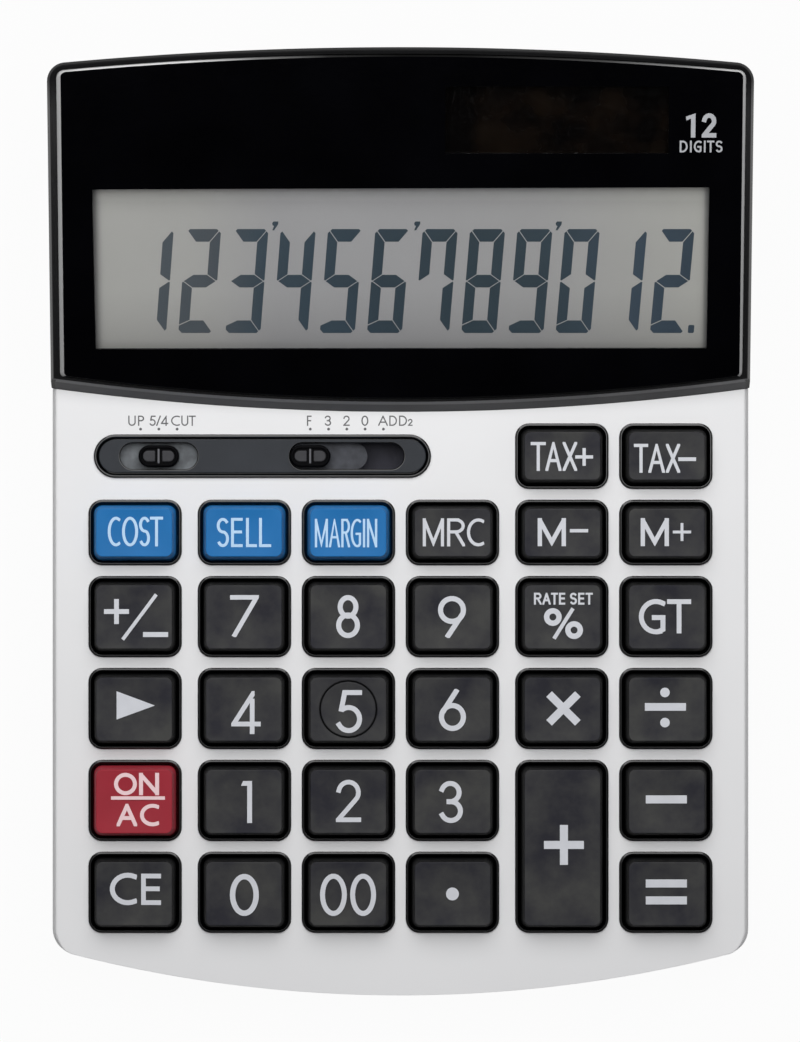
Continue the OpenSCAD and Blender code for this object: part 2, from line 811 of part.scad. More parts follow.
// A slide switch: knob, shutter strip and the stem that drives the wiper
module slider(x, half) {
    color("#17171a") translate([x, panel_y, 0]) {
        translate([0, 0, strip_z]) linear_extrude(strip_t) pill(2 * half, strip_h);
        translate([0, 0, strip_z]) linear_extrude(knob_rise - strip_z) pill(knob_w, knob_h);
        block(stem_w, stem_h, board_z + wiper_h, strip_z + join);
    }
}

// A brass leaf under a slider's stem, with two fingers on the board
module wiper(x) {
    color("#b08d4a") translate([x, panel_y, board_z]) {
        block(stem_w, stem_h, wiper_h - wiper_t, wiper_h);
        for (s = [-1, 1]) translate([0, s * stem_h / 3, 0]) rotate([90, 0, 0])
            linear_extrude(stem_h / 4, center = true) polygon([
                [-stem_w / 2, wiper_h],
                [-stem_w / 2, wiper_h - wiper_t],
                [stem_w / 4, slip],
                [stem_w / 2, slip + wiper_t],
                [stem_w / 4, slip + wiper_t],
            ]);
    }
}

module rounding_slider() {
    slider(rounding_at, rounding_strip);
}

module decimal_slider() {
    slider(decimal_rest, decimal_strip);
}

module rounding_wiper() {
    wiper(rounding_at);
}

module decimal_wiper() {
    wiper(decimal_rest);
}

// Silicone sheet with hollow spring domes
module dome_sheet() {
    dome_wall = 0.6;
    dome_roof = 0.9;
    dome_top_r = plunger_r + dome_wall;
    color("#c9c4b8") {
        translate([0, 0, board_z]) linear_extrude(sheet_t) difference() {
            translate([0, (block_front + block_rear) / 2])
                square([block_w + 2 * sheet_margin, block_l - 2 * sheet_margin], center = true);
            at_points(dome_points()) circle(dome_r - dome_wall);
            at_posts() circle(post_r + bore_gap);
            translate([strip_middle, row_rear(0)])
                square([strip_room + 2 * room, 2 * low_rim_l - 2 * sheet_margin], center = true);
        }
        at_points(dome_points()) translate([0, 0, sheet_z]) rotate_extrude() polygon([
            [dome_r - dome_wall, -sheet_t],
            [dome_r, -sheet_t],
            [dome_r, 0],
            [dome_top_r, dome_h],
            [0, dome_h],
            [0, dome_h - dome_roof],
            [dome_top_r - dome_wall, dome_h - dome_roof],
            [dome_r - dome_wall, 0],
        ]);
    }
}

// Circuit board
module main_pcb() {
    color("#2f6b3c") translate([0, 0, board_foot]) linear_extrude(board_t) difference() {
        translate([-block_w / 2 - sheet_margin, frame_front])
            square([block_w + 2 * sheet_margin, board_rear - frame_front]);
        at_posts() circle(small_screw_r + bore_gap);
    }
}

// Chip under a drop of resin, on the board's underside
module controller_chip() {
    chip_r = 5;
    chip_h = 1.4;
    color("#101012") translate([column_x(2), row_rear(2), board_foot - chip_h])
        rotate_extrude() polygon([
            [0, 0],
            [chip_r * 0.6, 0],
            [chip_r * 0.9, chip_h / 2],
            [chip_r, chip_h],
            [0, chip_h],
        ]);
}

// Capacitor lying on the board's underside
module power_capacitor() {
    can_r = 2;
    can_l = 7;
    color("#2b3f66") translate([column_x(4), row_rear(1), board_foot - can_r - slip])
        rotate([0, 90, 0]) cylinder(h = can_l, r = can_r, center = true);
}

// Frame that carries the display cell below the deck
module lcd_frame() {
    inner_w = lcd_w + 2 * (lcd_border + fit);
    front = lcd_front - lcd_ledge - fit;
    rear = lcd_rear + lcd_border + fit;
    foot = lcd_foot - reflector_t - lcd_frame_t;
    middle = (front + rear) / 2;
    color("#303033") on_display() difference() {
        union() {
            translate([0, middle, 0])
                block(inner_w + 2 * frame_wall, rear - front + 2 * frame_wall, foot, lcd_top);
            for (s = [-1, 1], v = [lcd_front + lcd_post_inset, lcd_rear - lcd_post_inset])
                translate([s * (lcd_post_x - lcd_post_r), v, 0])
                    block(4 * lcd_post_r, 2 * lcd_post_r, foot, foot + lcd_frame_t);
        }
        translate([0, middle, 0]) block(inner_w, rear - front, lcd_foot - reflector_t, lcd_top + cut);
        translate([0, lcd_front - room - lcd_ledge, 0])
            block(ribbon_w + 2 * room, 2 * lcd_ledge, foot - cut, lcd_top + cut);
        for (s = [-1, 1], v = [lcd_front + lcd_post_inset, lcd_rear - lcd_post_inset])
            translate([s * lcd_post_x, v, foot - cut])
                cylinder(h = lcd_frame_t + 2 * cut, r = small_screw_r + bore_gap);
    }
}

// Display cell
module lcd_glass() {
    color("#9c9a96") on_display()
        translate([0, lcd_front - lcd_ledge + (lcd_h + lcd_ledge + lcd_border) / 2, 0])
            block(lcd_w + 2 * lcd_border, lcd_h + lcd_ledge + lcd_border, lcd_foot, lcd_foot + lcd_t);
}

// Reflecting film behind the cell
module lcd_reflector() {
    color("#b9b8b2") on_display() translate([0, lcd_front + (lcd_h + lcd_border) / 2, 0])
        block(lcd_w + 2 * lcd_border, lcd_h + lcd_border, lcd_foot - reflector_t, lcd_foot);
}

// Bonded ribbon from the cell's ledge to the board
module lcd_ribbon() {
    c = cos(display_tilt);
    s = sin(display_tilt);
    // Points of the ribbon's upper side, from the cell to the board: [y, z]
    bond = lcd_foot - slip;
    top = [
        for (v = [lcd_front - 2 * room, lcd_front - lcd_ledge])
            [lip_y + v * c - bond * s, lip_h + v * s + bond * c],
        [tongue_rear - boss_r, -split_z + ribbon_bend],
        [board_rear, board_z + ribbon_t + ribbon_bend / 2],
        [board_rear - ribbon_bend, board_z + ribbon_t],
        [board_rear - ribbon_lap, board_z + ribbon_t],
    ];
    color("#c08a3e") rotate([90, 0, 90]) linear_extrude(ribbon_w, center = true) polygon(concat(
        top,
        [for (i = [len(top) - 1 : -1 : 0]) top[i] - [0, ribbon_t]]
    ));
}

// Solar cell below its window
module solar_cell() {
    color("#2a1a16") on_display() translate([solar_x, solar_v, 0])
        block(solar_w + 2 * solar_border, solar_h + 2 * solar_border, lcd_top - solar_t, lcd_top);
}

// Two wires from the solar cell to the board
module solar_leads() {
    c = cos(display_tilt);
    s = sin(display_tilt);
    w = lcd_top - solar_t - wire_r;
    pad = [lip_y + solar_v * c - w * s, lip_h + solar_v * s + w * c];
    color("#8c2f2f") for (x = [-lead_gap / 2, lead_gap / 2])
        wire([
            [solar_x + x, pad[0], pad[1]],
            [solar_x + x, pad[0], board_foot - lead_drop],
            [solar_x + x, board_rear + lead_bend, board_foot - lead_drop],
            [solar_x + x, board_rear - lead_lap, board_foot - wire_r],
        ]);
}

// Back-up cell in its pocket
module button_cell() {
    cap_h = 0.4;
    cap_inset = 1;
    color("#c3c5c8") table() translate([door_at[0], door_at[1], cell_foot]) {
        cylinder(h = cell_h - cap_h, r = cell_d / 2);
        cylinder(h = cell_h, r = cell_d / 2 - cap_inset);
    }
}

// Side contact with a tab through the roof of the compartment
module battery_contact_plus() {
    color("#b5b7ba") table() translate([door_at[0] + cell_d / 2 + contact_t / 2 + bore_gap, door_at[1], 0])
        block(contact_t, contact_w, cell_foot + contact_room, bay_top + tab_h);
}

// Sprung contact above the cell with a tab through the roof
module battery_contact_minus() {
    near = -cell_d / 4 - contact_t / 2;
    reach = cell_d / 4;
    color("#b5b7ba") table() translate([door_at[0], door_at[1], 0]) {
        translate([0, -cell_d / 4, 0]) block(contact_w, contact_t, bay_ceiling - contact_t, bay_top + tab_h);
        rotate([90, 0, 90]) linear_extrude(contact_w, center = true) polygon([
            [near, bay_ceiling],
            [near, bay_ceiling - contact_t],
            [reach, cell_top + slip],
            [reach + 3 * contact_t, cell_top + slip + contact_t],
            [reach, cell_top + slip + contact_t],
            [near + contact_t, bay_ceiling - contact_t / 2],
            [near + contact_t, bay_ceiling],
        ]);
    }
}

// Two wires from the battery contacts to the board
module battery_leads() {
    tabs = [
        [door_at[0] + cell_d / 2 + contact_t + bore_gap + wire_r + slip, door_at[1], bay_top + wire_r + slip],
        [door_at[0], door_at[1] - cell_d / 4 - contact_t - wire_r, bay_top + wire_r + slip],
    ];
    color("#33383f") for (t = tabs) {
        p = from_table(t);
        wire([
            p,
            [p[0], p[1] - lead_bend / 2, p[2] + tab_h],
            [p[0], board_rear + lead_bend, board_foot - lead_drop],
            [p[0], board_rear - lead_lap, board_foot - wire_r],
        ]);
    }
}

// Cover of the battery compartment, turning on two pins at its front edge
module battery_cover() {
    color("#232325") table() translate([door_at[0], hinge_y, hinge_z]) {
        translate([0, door_l / 2 - door_t / 4, 0])
            block(door_w, door_l - door_t / 2, -door_t / 2, door_t / 2);
        rotate([0, 90, 0]) cylinder(h = door_w, r = door_t / 2, center = true);
        rotate([0, 90, 0]) cylinder(h = door_w + 2 * pin_l, r = pin_r, center = true);
    }
}

module rubber_feet() {
    color("#2c2c2c") table() at_feet() cylinder(h = foot_h + foot_seat, r = foot_r);
}

// A screw with its head at the origin and its thread upwards
module screw(r, head, head_l, l) {
    translate([0, 0, -head_l]) difference() {
        cylinder(h = head_l + l, r = r);
        translate([0, 0, -cut]) cylinder(h = cut + head_l / 2, r = r / 2);
    }
    translate([0, 0, -head_l]) difference() {
        cylinder(h = head_l, r = head);
        for (a = [0, 90]) rotate([0, 0, a]) block(1.4 * head, head / 4, -cut, head_l / 2);
    }
}

module case_screws() {
    color("#8f9194") at_points(concat(FRONT_SCREWS, MIDDLE_SCREWS, REAR_SCREWS))
        translate([0, 0, -split_z - boss_wall]) screw(screw_r, head_r, head_h, boss_wall + thread_l);
}

module pcb_screws() {
    color("#8f9194") at_posts() translate([0, 0, board_foot])
        screw(small_screw_r, small_head_r, small_head_h, board_t + small_thread);
}

module lcd_screws() {
    color("#8f9194") at_lcd_posts() translate([0, 0, lcd_foot - reflector_t - lcd_frame_t])
        screw(small_screw_r, small_head_r, small_head_h, lcd_frame_t + lcd_thread);
}

for (k = KEYS) stand() key(k);
stand() upper_case();
stand() display_housing();
stand() lower_case();
stand() keypad_frame();
stand() switch_plate();
stand() rounding_slider();
stand() decimal_slider();
stand() rounding_wiper();
stand() decimal_wiper();
stand() dome_sheet();
stand() main_pcb();
stand() controller_chip();
stand() power_capacitor();
stand() display_lens();
stand() lcd_frame();
stand() lcd_glass();
stand() lcd_reflector();
stand() lcd_ribbon();
stand() solar_cell();
stand() solar_leads();
stand() button_cell();
stand() battery_contact_plus();
stand() battery_contact_minus();
stand() battery_leads();
stand() battery_cover();
stand() rubber_feet();
stand() case_screws();
stand() pcb_screws();
stand() lcd_screws();
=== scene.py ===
import math

import bpy
from mathutils import Matrix, Vector
from mathutils.geometry import delaunay_2d_cdt, tessellate_polygon


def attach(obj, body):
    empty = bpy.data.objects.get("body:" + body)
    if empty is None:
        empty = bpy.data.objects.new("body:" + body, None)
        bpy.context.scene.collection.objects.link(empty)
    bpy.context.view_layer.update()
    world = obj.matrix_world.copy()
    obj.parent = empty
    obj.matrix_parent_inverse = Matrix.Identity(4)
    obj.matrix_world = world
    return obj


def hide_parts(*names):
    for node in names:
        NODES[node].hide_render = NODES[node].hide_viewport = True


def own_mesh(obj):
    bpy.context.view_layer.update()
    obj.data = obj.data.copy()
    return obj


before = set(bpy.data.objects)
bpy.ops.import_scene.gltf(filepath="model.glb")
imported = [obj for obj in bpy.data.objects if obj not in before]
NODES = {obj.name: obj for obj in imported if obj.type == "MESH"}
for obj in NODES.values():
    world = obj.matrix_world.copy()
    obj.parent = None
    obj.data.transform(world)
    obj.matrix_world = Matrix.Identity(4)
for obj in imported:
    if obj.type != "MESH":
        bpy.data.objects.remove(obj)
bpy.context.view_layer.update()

# Sizes in millimetres, in the keypad's frame: z = 0 is the top of the face plate,
# x runs to the right and y towards the display
HALF_W = 75.0
HALF_L = 101.2463
FRONT_R, FRONT_CORNER = 288.0, 5.5
REAR_R, REAR_CORNER = 800.0, 4.0
FRONT_C = -HALF_L + FRONT_R
REAR_C = HALF_L - REAR_R
SPLIT_Z = -5.0
WALL = 2.0
PLATE_T = 2.0
LIP_Y, LIP_H, LIP_R = 24.4037, 1.9, 560.0
LIP_C = LIP_Y + LIP_R
LIP_BAND, LIP_END = 2.2, 0.75
SEAM = 0.1
DISPLAY_TILT = math.radians(10)
LENS_SIDE, LENS_REAR, LENS_FRONT, LENS_T, DECK_T = 1.89, 1.6, 2.6, 1.5, 1.2
LENS_SHIFT = 0.14
LENS_CORNER, LENS_REAR_CORNER = 1.15, 1.7
LCD_HALF_W, LCD_FRONT, LCD_REAR = 65.25, 13.45, 47.35
SOLAR_X, SOLAR_HALF_W, SOLAR_FRONT, SOLAR_REAR = 33.25, 23.75, 55.3, 69.6
WINDOW_EXTRA = 0.5
LCD_TOP = -2.8
# The display cell's visible ends in the shared frame, in metres
LCD_NEAR, LCD_FAR = 0.0374, 0.0712

RIM_W, RIM_T, RIM_R, RIM_RISE = 19.9, 0.9, 2.9, 0.6
WEB_Z = -3.2
KEY_FOOT, FLANGE_Z, FLANGE_OUT = -4.1, -3.3, 0.95
KEY_IN = 1.15
KEY_RISE, KEY_SHOULDER, KEY_LEAN = 4.0, 0.8, 0.66
DISH = 0.35
COLUMN_X = (-57.025, -33.525, -11.175, 11.175, 34.675, 57.025)
ROW_Y = (14.769, -1.631, -19.706, -39.456, -59.206, -78.956)
LOW_RIM_L, HIGH_RIM_L, TALL_RIM_L = 13.95, 17.3, 37.05
TALL_Y = -69.081

RIM_GAP = 2.45
WEB_W, WEB_L, WEB_Y = 137.15, 112.55, -32.931
FOOT_EDGE = 0.25
WEB_TOP = -PLATE_T - 0.001
PANEL_X, PANEL_Y, PANEL_W, PANEL_H = -29.675, 14.769, 72.3, 9.2
COVER_IN, COVER_TOP, COVER_FOOT, COVER_SKIRT = 1.0, 0.2, -0.8, 0.5
COVER_EDGE = 0.25
SLOT_H, SLOT_EDGE = 5.6, 0.26
ROUNDING_X, ROUNDING_SLOT, ROUNDING_STRIP = -51.925, 16.66, 18.4
DECIMAL_X, DECIMAL_SLOT, DECIMAL_STRIP = -11.525, 24.52, 24.6
DECIMAL_REST, DETENT = -19.385, 3.93
STRIP_Z, STRIP_T, STRIP_H = -2.9, 0.7, 5.8
CHANNEL_X, CHANNEL_W = -28.21, 74.69
KNOB_W, KNOB_H, KNOB_TOP, KNOB_RIM, KNOB_POCKET = 8.7, 4.7, 1.4, 0.7, 0.5
PAD_X, PAD_HALF_W, PAD_HALF_H, PAD_INNER_R, PAD_OUTER_R = 2.05, 1.32, 1.2, 0.3, 1.15

MM = Matrix.Scale(0.001, 4)
STAND = Matrix.Translation((0, -0.577734, 17.9488)) @ Matrix.Rotation(math.radians(3), 4, "X")
DISPLAY = STAND @ Matrix.Translation((0, LIP_Y, LIP_H)) @ Matrix.Rotation(DISPLAY_TILT, 4, "X")


# Camera: square to the keypad, one metre above it, with so many millimetres of the keypad in its frame
CAMERA_AT = (-0.1, 0.85, 1000.0)
FRAME_W = 171.93
camera = bpy.data.objects.new("camera", bpy.data.cameras.new("camera"))
bpy.context.scene.collection.objects.link(camera)
camera.data.sensor_fit = "HORIZONTAL"
camera.data.sensor_width = 36
camera.data.lens = camera.data.sensor_width * CAMERA_AT[2] / FRAME_W
camera.data.clip_start = 0.01
camera.data.clip_end = 20
camera.matrix_world = MM @ STAND @ Matrix.Translation(CAMERA_AT)
# The change to metres moves the camera, and doesn't shrink it
camera.scale = (1, 1, 1)
bpy.context.scene.camera = camera
bpy.context.scene.view_settings.view_transform = "Standard"


def rgb(r, g, b):
    """A colour given as 0 to 255 on the screen, in linear light."""
    def one(v):
        v /= 255
        return v / 12.92 if v <= 0.04045 else ((v + 0.055) / 1.055) ** 2.4
    return one(r), one(g), one(b), 1.0


def scaled(color, k):
    return tuple(min(1.0, c * k) for c in color[:3]) + (1.0,)


class Tree:
    """A node tree, with short ways to add and link nodes."""

    def __init__(self, tree):
        self.tree = tree

    def add(self, kind, **values):
        node = self.tree.nodes.new(kind)
        for key, value in values.items():
            setattr(node, key, value)
        return node

    def link(self, out, into):
        self.tree.links.new(out, into)

    def axis(self, coords, letter):
        node = self.add("ShaderNodeSeparateXYZ")
        self.link(coords, node.inputs["Vector"])
        return node.outputs[letter]

    def math(self, operation, a, b=None, value=None):
        node = self.add("ShaderNodeMath", operation=operation)
        self.link(a, node.inputs[0])
        if b is None:
            node.inputs[1].default_value = value
        else:
            self.link(b, node.inputs[1])
        return node.outputs["Value"]

    def mixed(self, share, first, second):
        """Two shaders, mixed by the share of the second."""
        node = self.add("ShaderNodeMixShader")
        self.link(share, node.inputs["Fac"])
        self.link(first, node.inputs[1])
        self.link(second, node.inputs[2])
        return node.outputs["Shader"]

    def ramp(self, value, stops):
        node = self.add("ShaderNodeValToRGB")
        elements = node.color_ramp.elements
        while len(elements) < len(stops):
            elements.new(0.5)
        for element, (at, color) in zip(elements, stops):
            element.position = at
            element.color = color
        self.link(value, node.inputs["Fac"])
        return node.outputs["Color"]

    def remap(self, value, low, high, start=0.3, end=0.7):
        node = self.add("ShaderNodeMapRange")
        node.inputs["From Min"].default_value = start
        node.inputs["From Max"].default_value = end
        node.inputs["To Min"].default_value = low
        node.inputs["To Max"].default_value = high
        self.link(value, node.inputs["Value"])
        return node.outputs["Result"]

    def product(self, a, b, blend="MULTIPLY"):
        node = self.add("ShaderNodeMix", data_type="RGBA", blend_type=blend)
        node.inputs["Factor"].default_value = 1.0
        self.link(a, node.inputs["A"])
        self.link(b, node.inputs["B"])
        return node.outputs["Result"]


class Nodes(Tree):
    """A material's nodes."""

    def __init__(self, name):
        self.material = bpy.data.materials.new(name)
        self.material.use_nodes = True
        super().__init__(self.material.node_tree)
        self.shader = self.tree.nodes["Principled BSDF"]
        self.output = self.tree.nodes["Material Output"]
        self.coords = self.add("ShaderNodeTexCoord").outputs["Object"]

    def noise(self, scale, detail=2.0, rough=0.5, stretch=None):
        node = self.add("ShaderNodeTexNoise")
        node.inputs["Scale"].default_value = scale
        node.inputs["Detail"].default_value = detail
        node.inputs["Roughness"].default_value = rough
        if stretch:
            mapping = self.add("ShaderNodeMapping")
            mapping.inputs["Scale"].default_value = stretch
            self.link(self.coords, mapping.inputs["Vector"])
            self.link(mapping.outputs["Vector"], node.inputs["Vector"])
        else:
            self.link(self.coords, node.inputs["Vector"])
        return node.outputs["Fac"]

    def bump(self, height, depth_mm, strength=1.0):
        node = self.add("ShaderNodeBump")
        node.inputs["Strength"].default_value = strength
        node.inputs["Distance"].default_value = depth_mm / 1000
        self.link(height, node.inputs["Height"])
        self.link(node.outputs["Normal"], self.shader.inputs["Normal"])


def moulded(name, color, rough, grain_mm, depth_mm, spread, patch_mm=14.0, **sockets):
    """Moulded plastic, rubber or paint: broad tone, fine grain in gloss and relief."""
    n = Nodes(name)
    tones = (0.3, scaled(color, 1 - spread)), (0.7, scaled(color, 1 + spread))
    n.link(n.ramp(n.noise(1000 / patch_mm, 3.0), tones), n.shader.inputs["Base Color"])
    grain = n.noise(1000 / grain_mm, 3.0, 0.6)
    n.link(n.remap(grain, rough * 0.85, min(1.0, rough * 1.15)), n.shader.inputs["Roughness"])
    n.bump(grain, depth_mm)
    for key, value in sockets.items():
        n.shader.inputs[key.replace("_", " ")].default_value = value
    return n.material


def metal(name, color, rough=0.3):
    """Drawn or rolled metal with fine streaks."""
    n = Nodes(name)
    streaks = n.noise(900, 4.0, 0.6, (1, 8, 1))
    n.link(n.ramp(streaks, ((0.3, scaled(color, 0.85)), (0.7, color))), n.shader.inputs["Base Color"])
    n.link(n.remap(streaks, rough * 0.7, rough * 1.3), n.shader.inputs["Roughness"])
    n.bump(streaks, 0.004)
    n.shader.inputs["Metallic"].default_value = 1.0
    return n.material


SILVER = moulded("silver_paint", rgb(233, 233, 234), 0.45, 0.22, 0.004, 0.015, 30, Specular_IOR_Level=0.2)
LIP = moulded("lip_plastic", rgb(73, 73, 75), 0.45, 0.3, 0.006, 0.05)
# Painted highlight along the lip's upper edge
LIP_HIGHLIGHT = moulded("lip_painted_highlight", rgb(112, 112, 114), 0.4, 0.3, 0.006, 0.08)
BASE = moulded("base_plastic", rgb(38, 38, 40), 0.55, 0.45, 0.03, 0.08)
RIM = moulded("rim_plastic", rgb(5, 5, 6), 0.14, 0.3, 0.002, 0.1, Specular_IOR_Level=0.7)
# Front of the lens bevel: painted shade, a dark copy of the bevel's tone
LENS_FRONT_SHADE = moulded("lens_front_edge_painted_shade", rgb(27, 27, 28), 0.3, 0.3, 0.003, 0.1)
WELL = moulded("window_wall", rgb(4, 4, 5), 0.5, 0.3, 0.003, 0.1, Specular_IOR_Level=0.05)
COVER = moulded("switch_cover", rgb(46, 49, 54), 0.5, 0.3, 0.008, 0.12, 9, Specular_IOR_Level=0.2)
# The decimal strip is a darker copy of the rounding strip: painted shade
STRIP, STRIP_SHADED = (
    moulded(name, color, 0.5, 0.3, 0.006, 0.35, 2.5, Specular_IOR_Level=0.2)
    for name, color in (("shutter_strip", rgb(110, 114, 118)), ("shutter_strip_painted_shade", rgb(65, 67, 73))))
KNOB = moulded("knob_plastic", rgb(5, 5, 7), 0.35, 0.25, 0.003, 0.1, Specular_IOR_Level=0.03)
PAD = moulded("knob_pad", rgb(60, 60, 63), 0.5, 0.25, 0.006, 0.1, 2, Specular_IOR_Level=0.15)
RIDGE = moulded("knob_ridge", rgb(104, 104, 108), 0.5, 0.25, 0.004, 0.1, 2, Specular_IOR_Level=0.15)
# Sides of the black keys and the ring in the middle key: painted shade, far darker than the key tops
KEY_SIDE_SHADE = moulded("key_side_painted_shade", rgb(10, 10, 11), 0.5, 0.28, 0.01, 0.15, 4, Specular_IOR_Level=0.08)
KEY_BLUE = moulded("key_blue", rgb(26, 109, 173), 0.5, 0.28, 0.01, 0.04, 9, Specular_IOR_Level=0.2)
KEY_RED = moulded("key_red", rgb(155, 40, 53), 0.5, 0.28, 0.01, 0.06, 9, Specular_IOR_Level=0.2)
KEY_PRINT, BLUE_PRINT, RED_PRINT = (
    moulded(name, color, 0.5, 0.2, 0.003, 0.03, 3)
    for name, color in (("key_print", rgb(206, 208, 214)), ("blue_key_print", rgb(181, 214, 243)),
                        ("red_key_print", rgb(238, 206, 209))))
DARK_PRINT = moulded("plate_print", rgb(82, 82, 84), 0.5, 0.2, 0.002, 0.08, 2)
LENS_PRINT = moulded("lens_print", rgb(169, 171, 175), 0.4, 0.2, 0.002, 0.05, 2)
RUBBER = moulded("foot_rubber", rgb(34, 34, 34), 0.8, 0.5, 0.03, 0.1)
SILICONE = moulded("silicone", rgb(201, 196, 184), 0.6, 0.4, 0.01, 0.04)
BOARD = moulded("circuit_board", rgb(58, 58, 68), 0.4, 0.8, 0.01, 0.12, 3, Specular_IOR_Level=0.1)
RESIN = moulded("chip_resin", rgb(16, 16, 18), 0.25, 1.5, 0.03, 0.1)
SLEEVE = moulded("capacitor_sleeve", rgb(40, 60, 104), 0.35, 0.4, 0.006, 0.06)
RIBBON = moulded("ribbon_film", rgb(190, 138, 64), 0.35, 0.5, 0.006, 0.1, 2)
WIRE = moulded("wire_sleeve", rgb(132, 42, 42), 0.4, 0.3, 0.01, 0.08)
FRAME_GREY = moulded("frame_plastic", rgb(50, 50, 53), 0.5, 0.3, 0.01, 0.08)
FILM = moulded("reflector_film", rgb(190, 189, 182), 0.3, 0.3, 0.004, 0.03)
BRASS = metal("contact_brass", rgb(196, 160, 90))
STEEL = metal("steel", rgb(170, 172, 176))


def housing_black():
    """Satin black that mirrors less along its rear edge."""
    n = Nodes("housing_plastic")
    tone = n.ramp(n.noise(70, 3.0), ((0.3, rgb(14, 14, 15)), (0.7, rgb(18, 18, 19))))
    n.link(tone, n.shader.inputs["Base Color"])
    mirror = n.remap(n.axis(n.coords, "Y"), 0.5, 0.06, 0.086, 0.093)
    n.link(mirror, n.shader.inputs["Specular IOR Level"])
    grain = n.noise(3300, 3.0, 0.6)
    n.link(n.remap(grain, 0.19, 0.25), n.shader.inputs["Roughness"])
    n.bump(grain, 0.002)
    return n.material


def key_black():
    """Satin black of the keys, in clouds from blue-black to warm grey."""
    n = Nodes("key_black")
    tone = n.ramp(n.noise(95, 4.0, 0.6), ((0.34, rgb(37, 37, 44)), (0.66, rgb(64, 64, 63))))
    n.link(tone, n.shader.inputs["Base Color"])
    grain = n.noise(3600, 3.0, 0.6)
    n.link(n.remap(grain, 0.46, 0.62), n.shader.inputs["Roughness"])
    n.bump(grain, 0.012)
    n.shader.inputs["Specular IOR Level"].default_value = 0.16
    return n.material


def lens_black():
    """Polished acrylic with a black print behind it."""
    n = Nodes("lens_black")
    haze = n.noise(60, 3.0)
    n.link(n.ramp(haze, ((0.3, rgb(2, 2, 3)), (0.7, rgb(4, 4, 6)))), n.shader.inputs["Base Color"])
    n.link(n.remap(n.noise(900, 2.0), 0.03, 0.07), n.shader.inputs["Roughness"])
    n.bump(n.noise(35, 1.0), 0.004)
    n.shader.inputs["Specular IOR Level"].default_value = 0.35
    return n.material


def lens_edge_painted_highlight():
    """The ground edge of the acrylic, with a painted highlight: bright at its sides and towards the rear
    corners, dark in the middle, dimmer in front.
    """
    n = Nodes("lens_edge_painted_highlight")
    half = HALF_W / 1000
    # Painted highlight: bright at the sides, dark in the middle
    tone = n.ramp(n.remap(n.axis(n.coords, "X"), 0, 1, -half, half), [(at, rgb(v, v, v)) for at, v in (
        (0.03, 205), (0.05, 228), (0.2, 228), (0.3, 125), (0.4, 45), (0.5, 22), (0.6, 26), (0.72, 55),
        (0.79, 75), (0.9, 140), (0.96, 200), (1.0, 212))])
    front = n.remap(n.axis(n.coords, "Y"), 0.75, 1, 0.03, 0.09)
    n.link(n.product(tone, front), n.shader.inputs["Base Color"])
    n.link(n.remap(n.noise(1500, 2.0), 0.12, 0.25), n.shader.inputs["Roughness"])
    n.bump(n.noise(700, 2.0), 0.004)
    return n.material


def clear_pane():
    """The clear part of the acrylic: see-through, with a gloss at its surface."""
    n = Nodes("clear_pane")
    see = n.add("ShaderNodeBsdfTransparent")
    see.inputs["Color"].default_value = (0.97, 0.97, 0.97, 1)
    gloss = n.add("ShaderNodeBsdfGlossy")
    n.link(n.remap(n.noise(900, 2.0), 0.02, 0.05), gloss.inputs["Roughness"])
    away = n.math("POWER", n.add("ShaderNodeLayerWeight").outputs["Facing"], value=5)
    both = n.mixed(n.remap(away, 0.017, 1, 0, 1), see.outputs["BSDF"], gloss.outputs["BSDF"])
    n.link(both, n.output.inputs["Surface"])
    n.tree.nodes.remove(n.shader)
    return n.material


def lcd_cell():
    """Grey display cell: paler at its ends, with painted shade at the window's side edges and in front, and
    painted light along its rear edge.
    """
    n = Nodes("lcd_cell")
    half = LCD_HALF_W / 1000 + 0.001
    # Tones across the cell: painted shade at the window's left and right edges
    tones = (
        (0.004, 93, 92), (0.008, 114, 113), (0.0115, 145, 143), (0.015, 161, 158), (0.02, 172, 168),
        (0.17, 167, 164), (0.3, 156, 157), (0.5, 155, 156), (0.72, 155, 155), (0.86, 163, 160),
        (0.985, 171, 166), (0.989, 160, 156), (0.992, 129, 127), (0.995, 103, 102))
    across = n.ramp(n.remap(n.axis(n.coords, "X"), 0, 1, -half, half),
                    [(at, scaled(rgb(v, v, w), 1.65)) for at, v, w in tones])
    # Along the cell: painted shade in front, and painted light along its rear edge against the window wall's
    # shadow
    along = n.ramp(n.remap(n.axis(n.coords, "Y"), 0, 1, LCD_NEAR, LCD_FAR), [(at, (k, k, k, 1)) for at, k in (
        (0.0, 0.36), (0.05, 0.47), (0.2, 0.55), (0.35, 0.606), (0.9, 0.606), (0.95, 0.75), (1.0, 1.0))])
    cloud = n.remap(n.noise(14, 2.0), 0.96, 1.04)
    n.link(n.product(n.product(across, along), cloud), n.shader.inputs["Base Color"])
    n.link(n.remap(n.noise(2500, 2.0), 0.35, 0.5), n.shader.inputs["Roughness"])
    n.bump(n.noise(2500, 2.0), 0.002)
    return n.material


def lcd_segment():
    """Dark crystal that turns from grey to blue across the display."""
    n = Nodes("lcd_segment")
    half = LCD_HALF_W / 1000
    across = n.ramp(n.remap(n.axis(n.coords, "X"), 0, 1, -half, half), (
        (0.08, rgb(67, 77, 84)), (0.19, rgb(62, 70, 77)), (0.28, rgb(37, 58, 71)), (0.45, rgb(25, 48, 61)),
        (0.62, rgb(24, 47, 58)), (0.77, rgb(30, 52, 64)), (0.86, rgb(42, 60, 75)), (0.95, rgb(36, 56, 71))))
    n.link(n.product(across, n.remap(n.noise(45, 2.0), 0.9, 1.1)), n.shader.inputs["Base Color"])
    n.link(n.remap(n.noise(2500, 2.0), 0.4, 0.55), n.shader.inputs["Roughness"])
    n.bump(n.noise(2500, 2.0), 0.001)
    return n.material


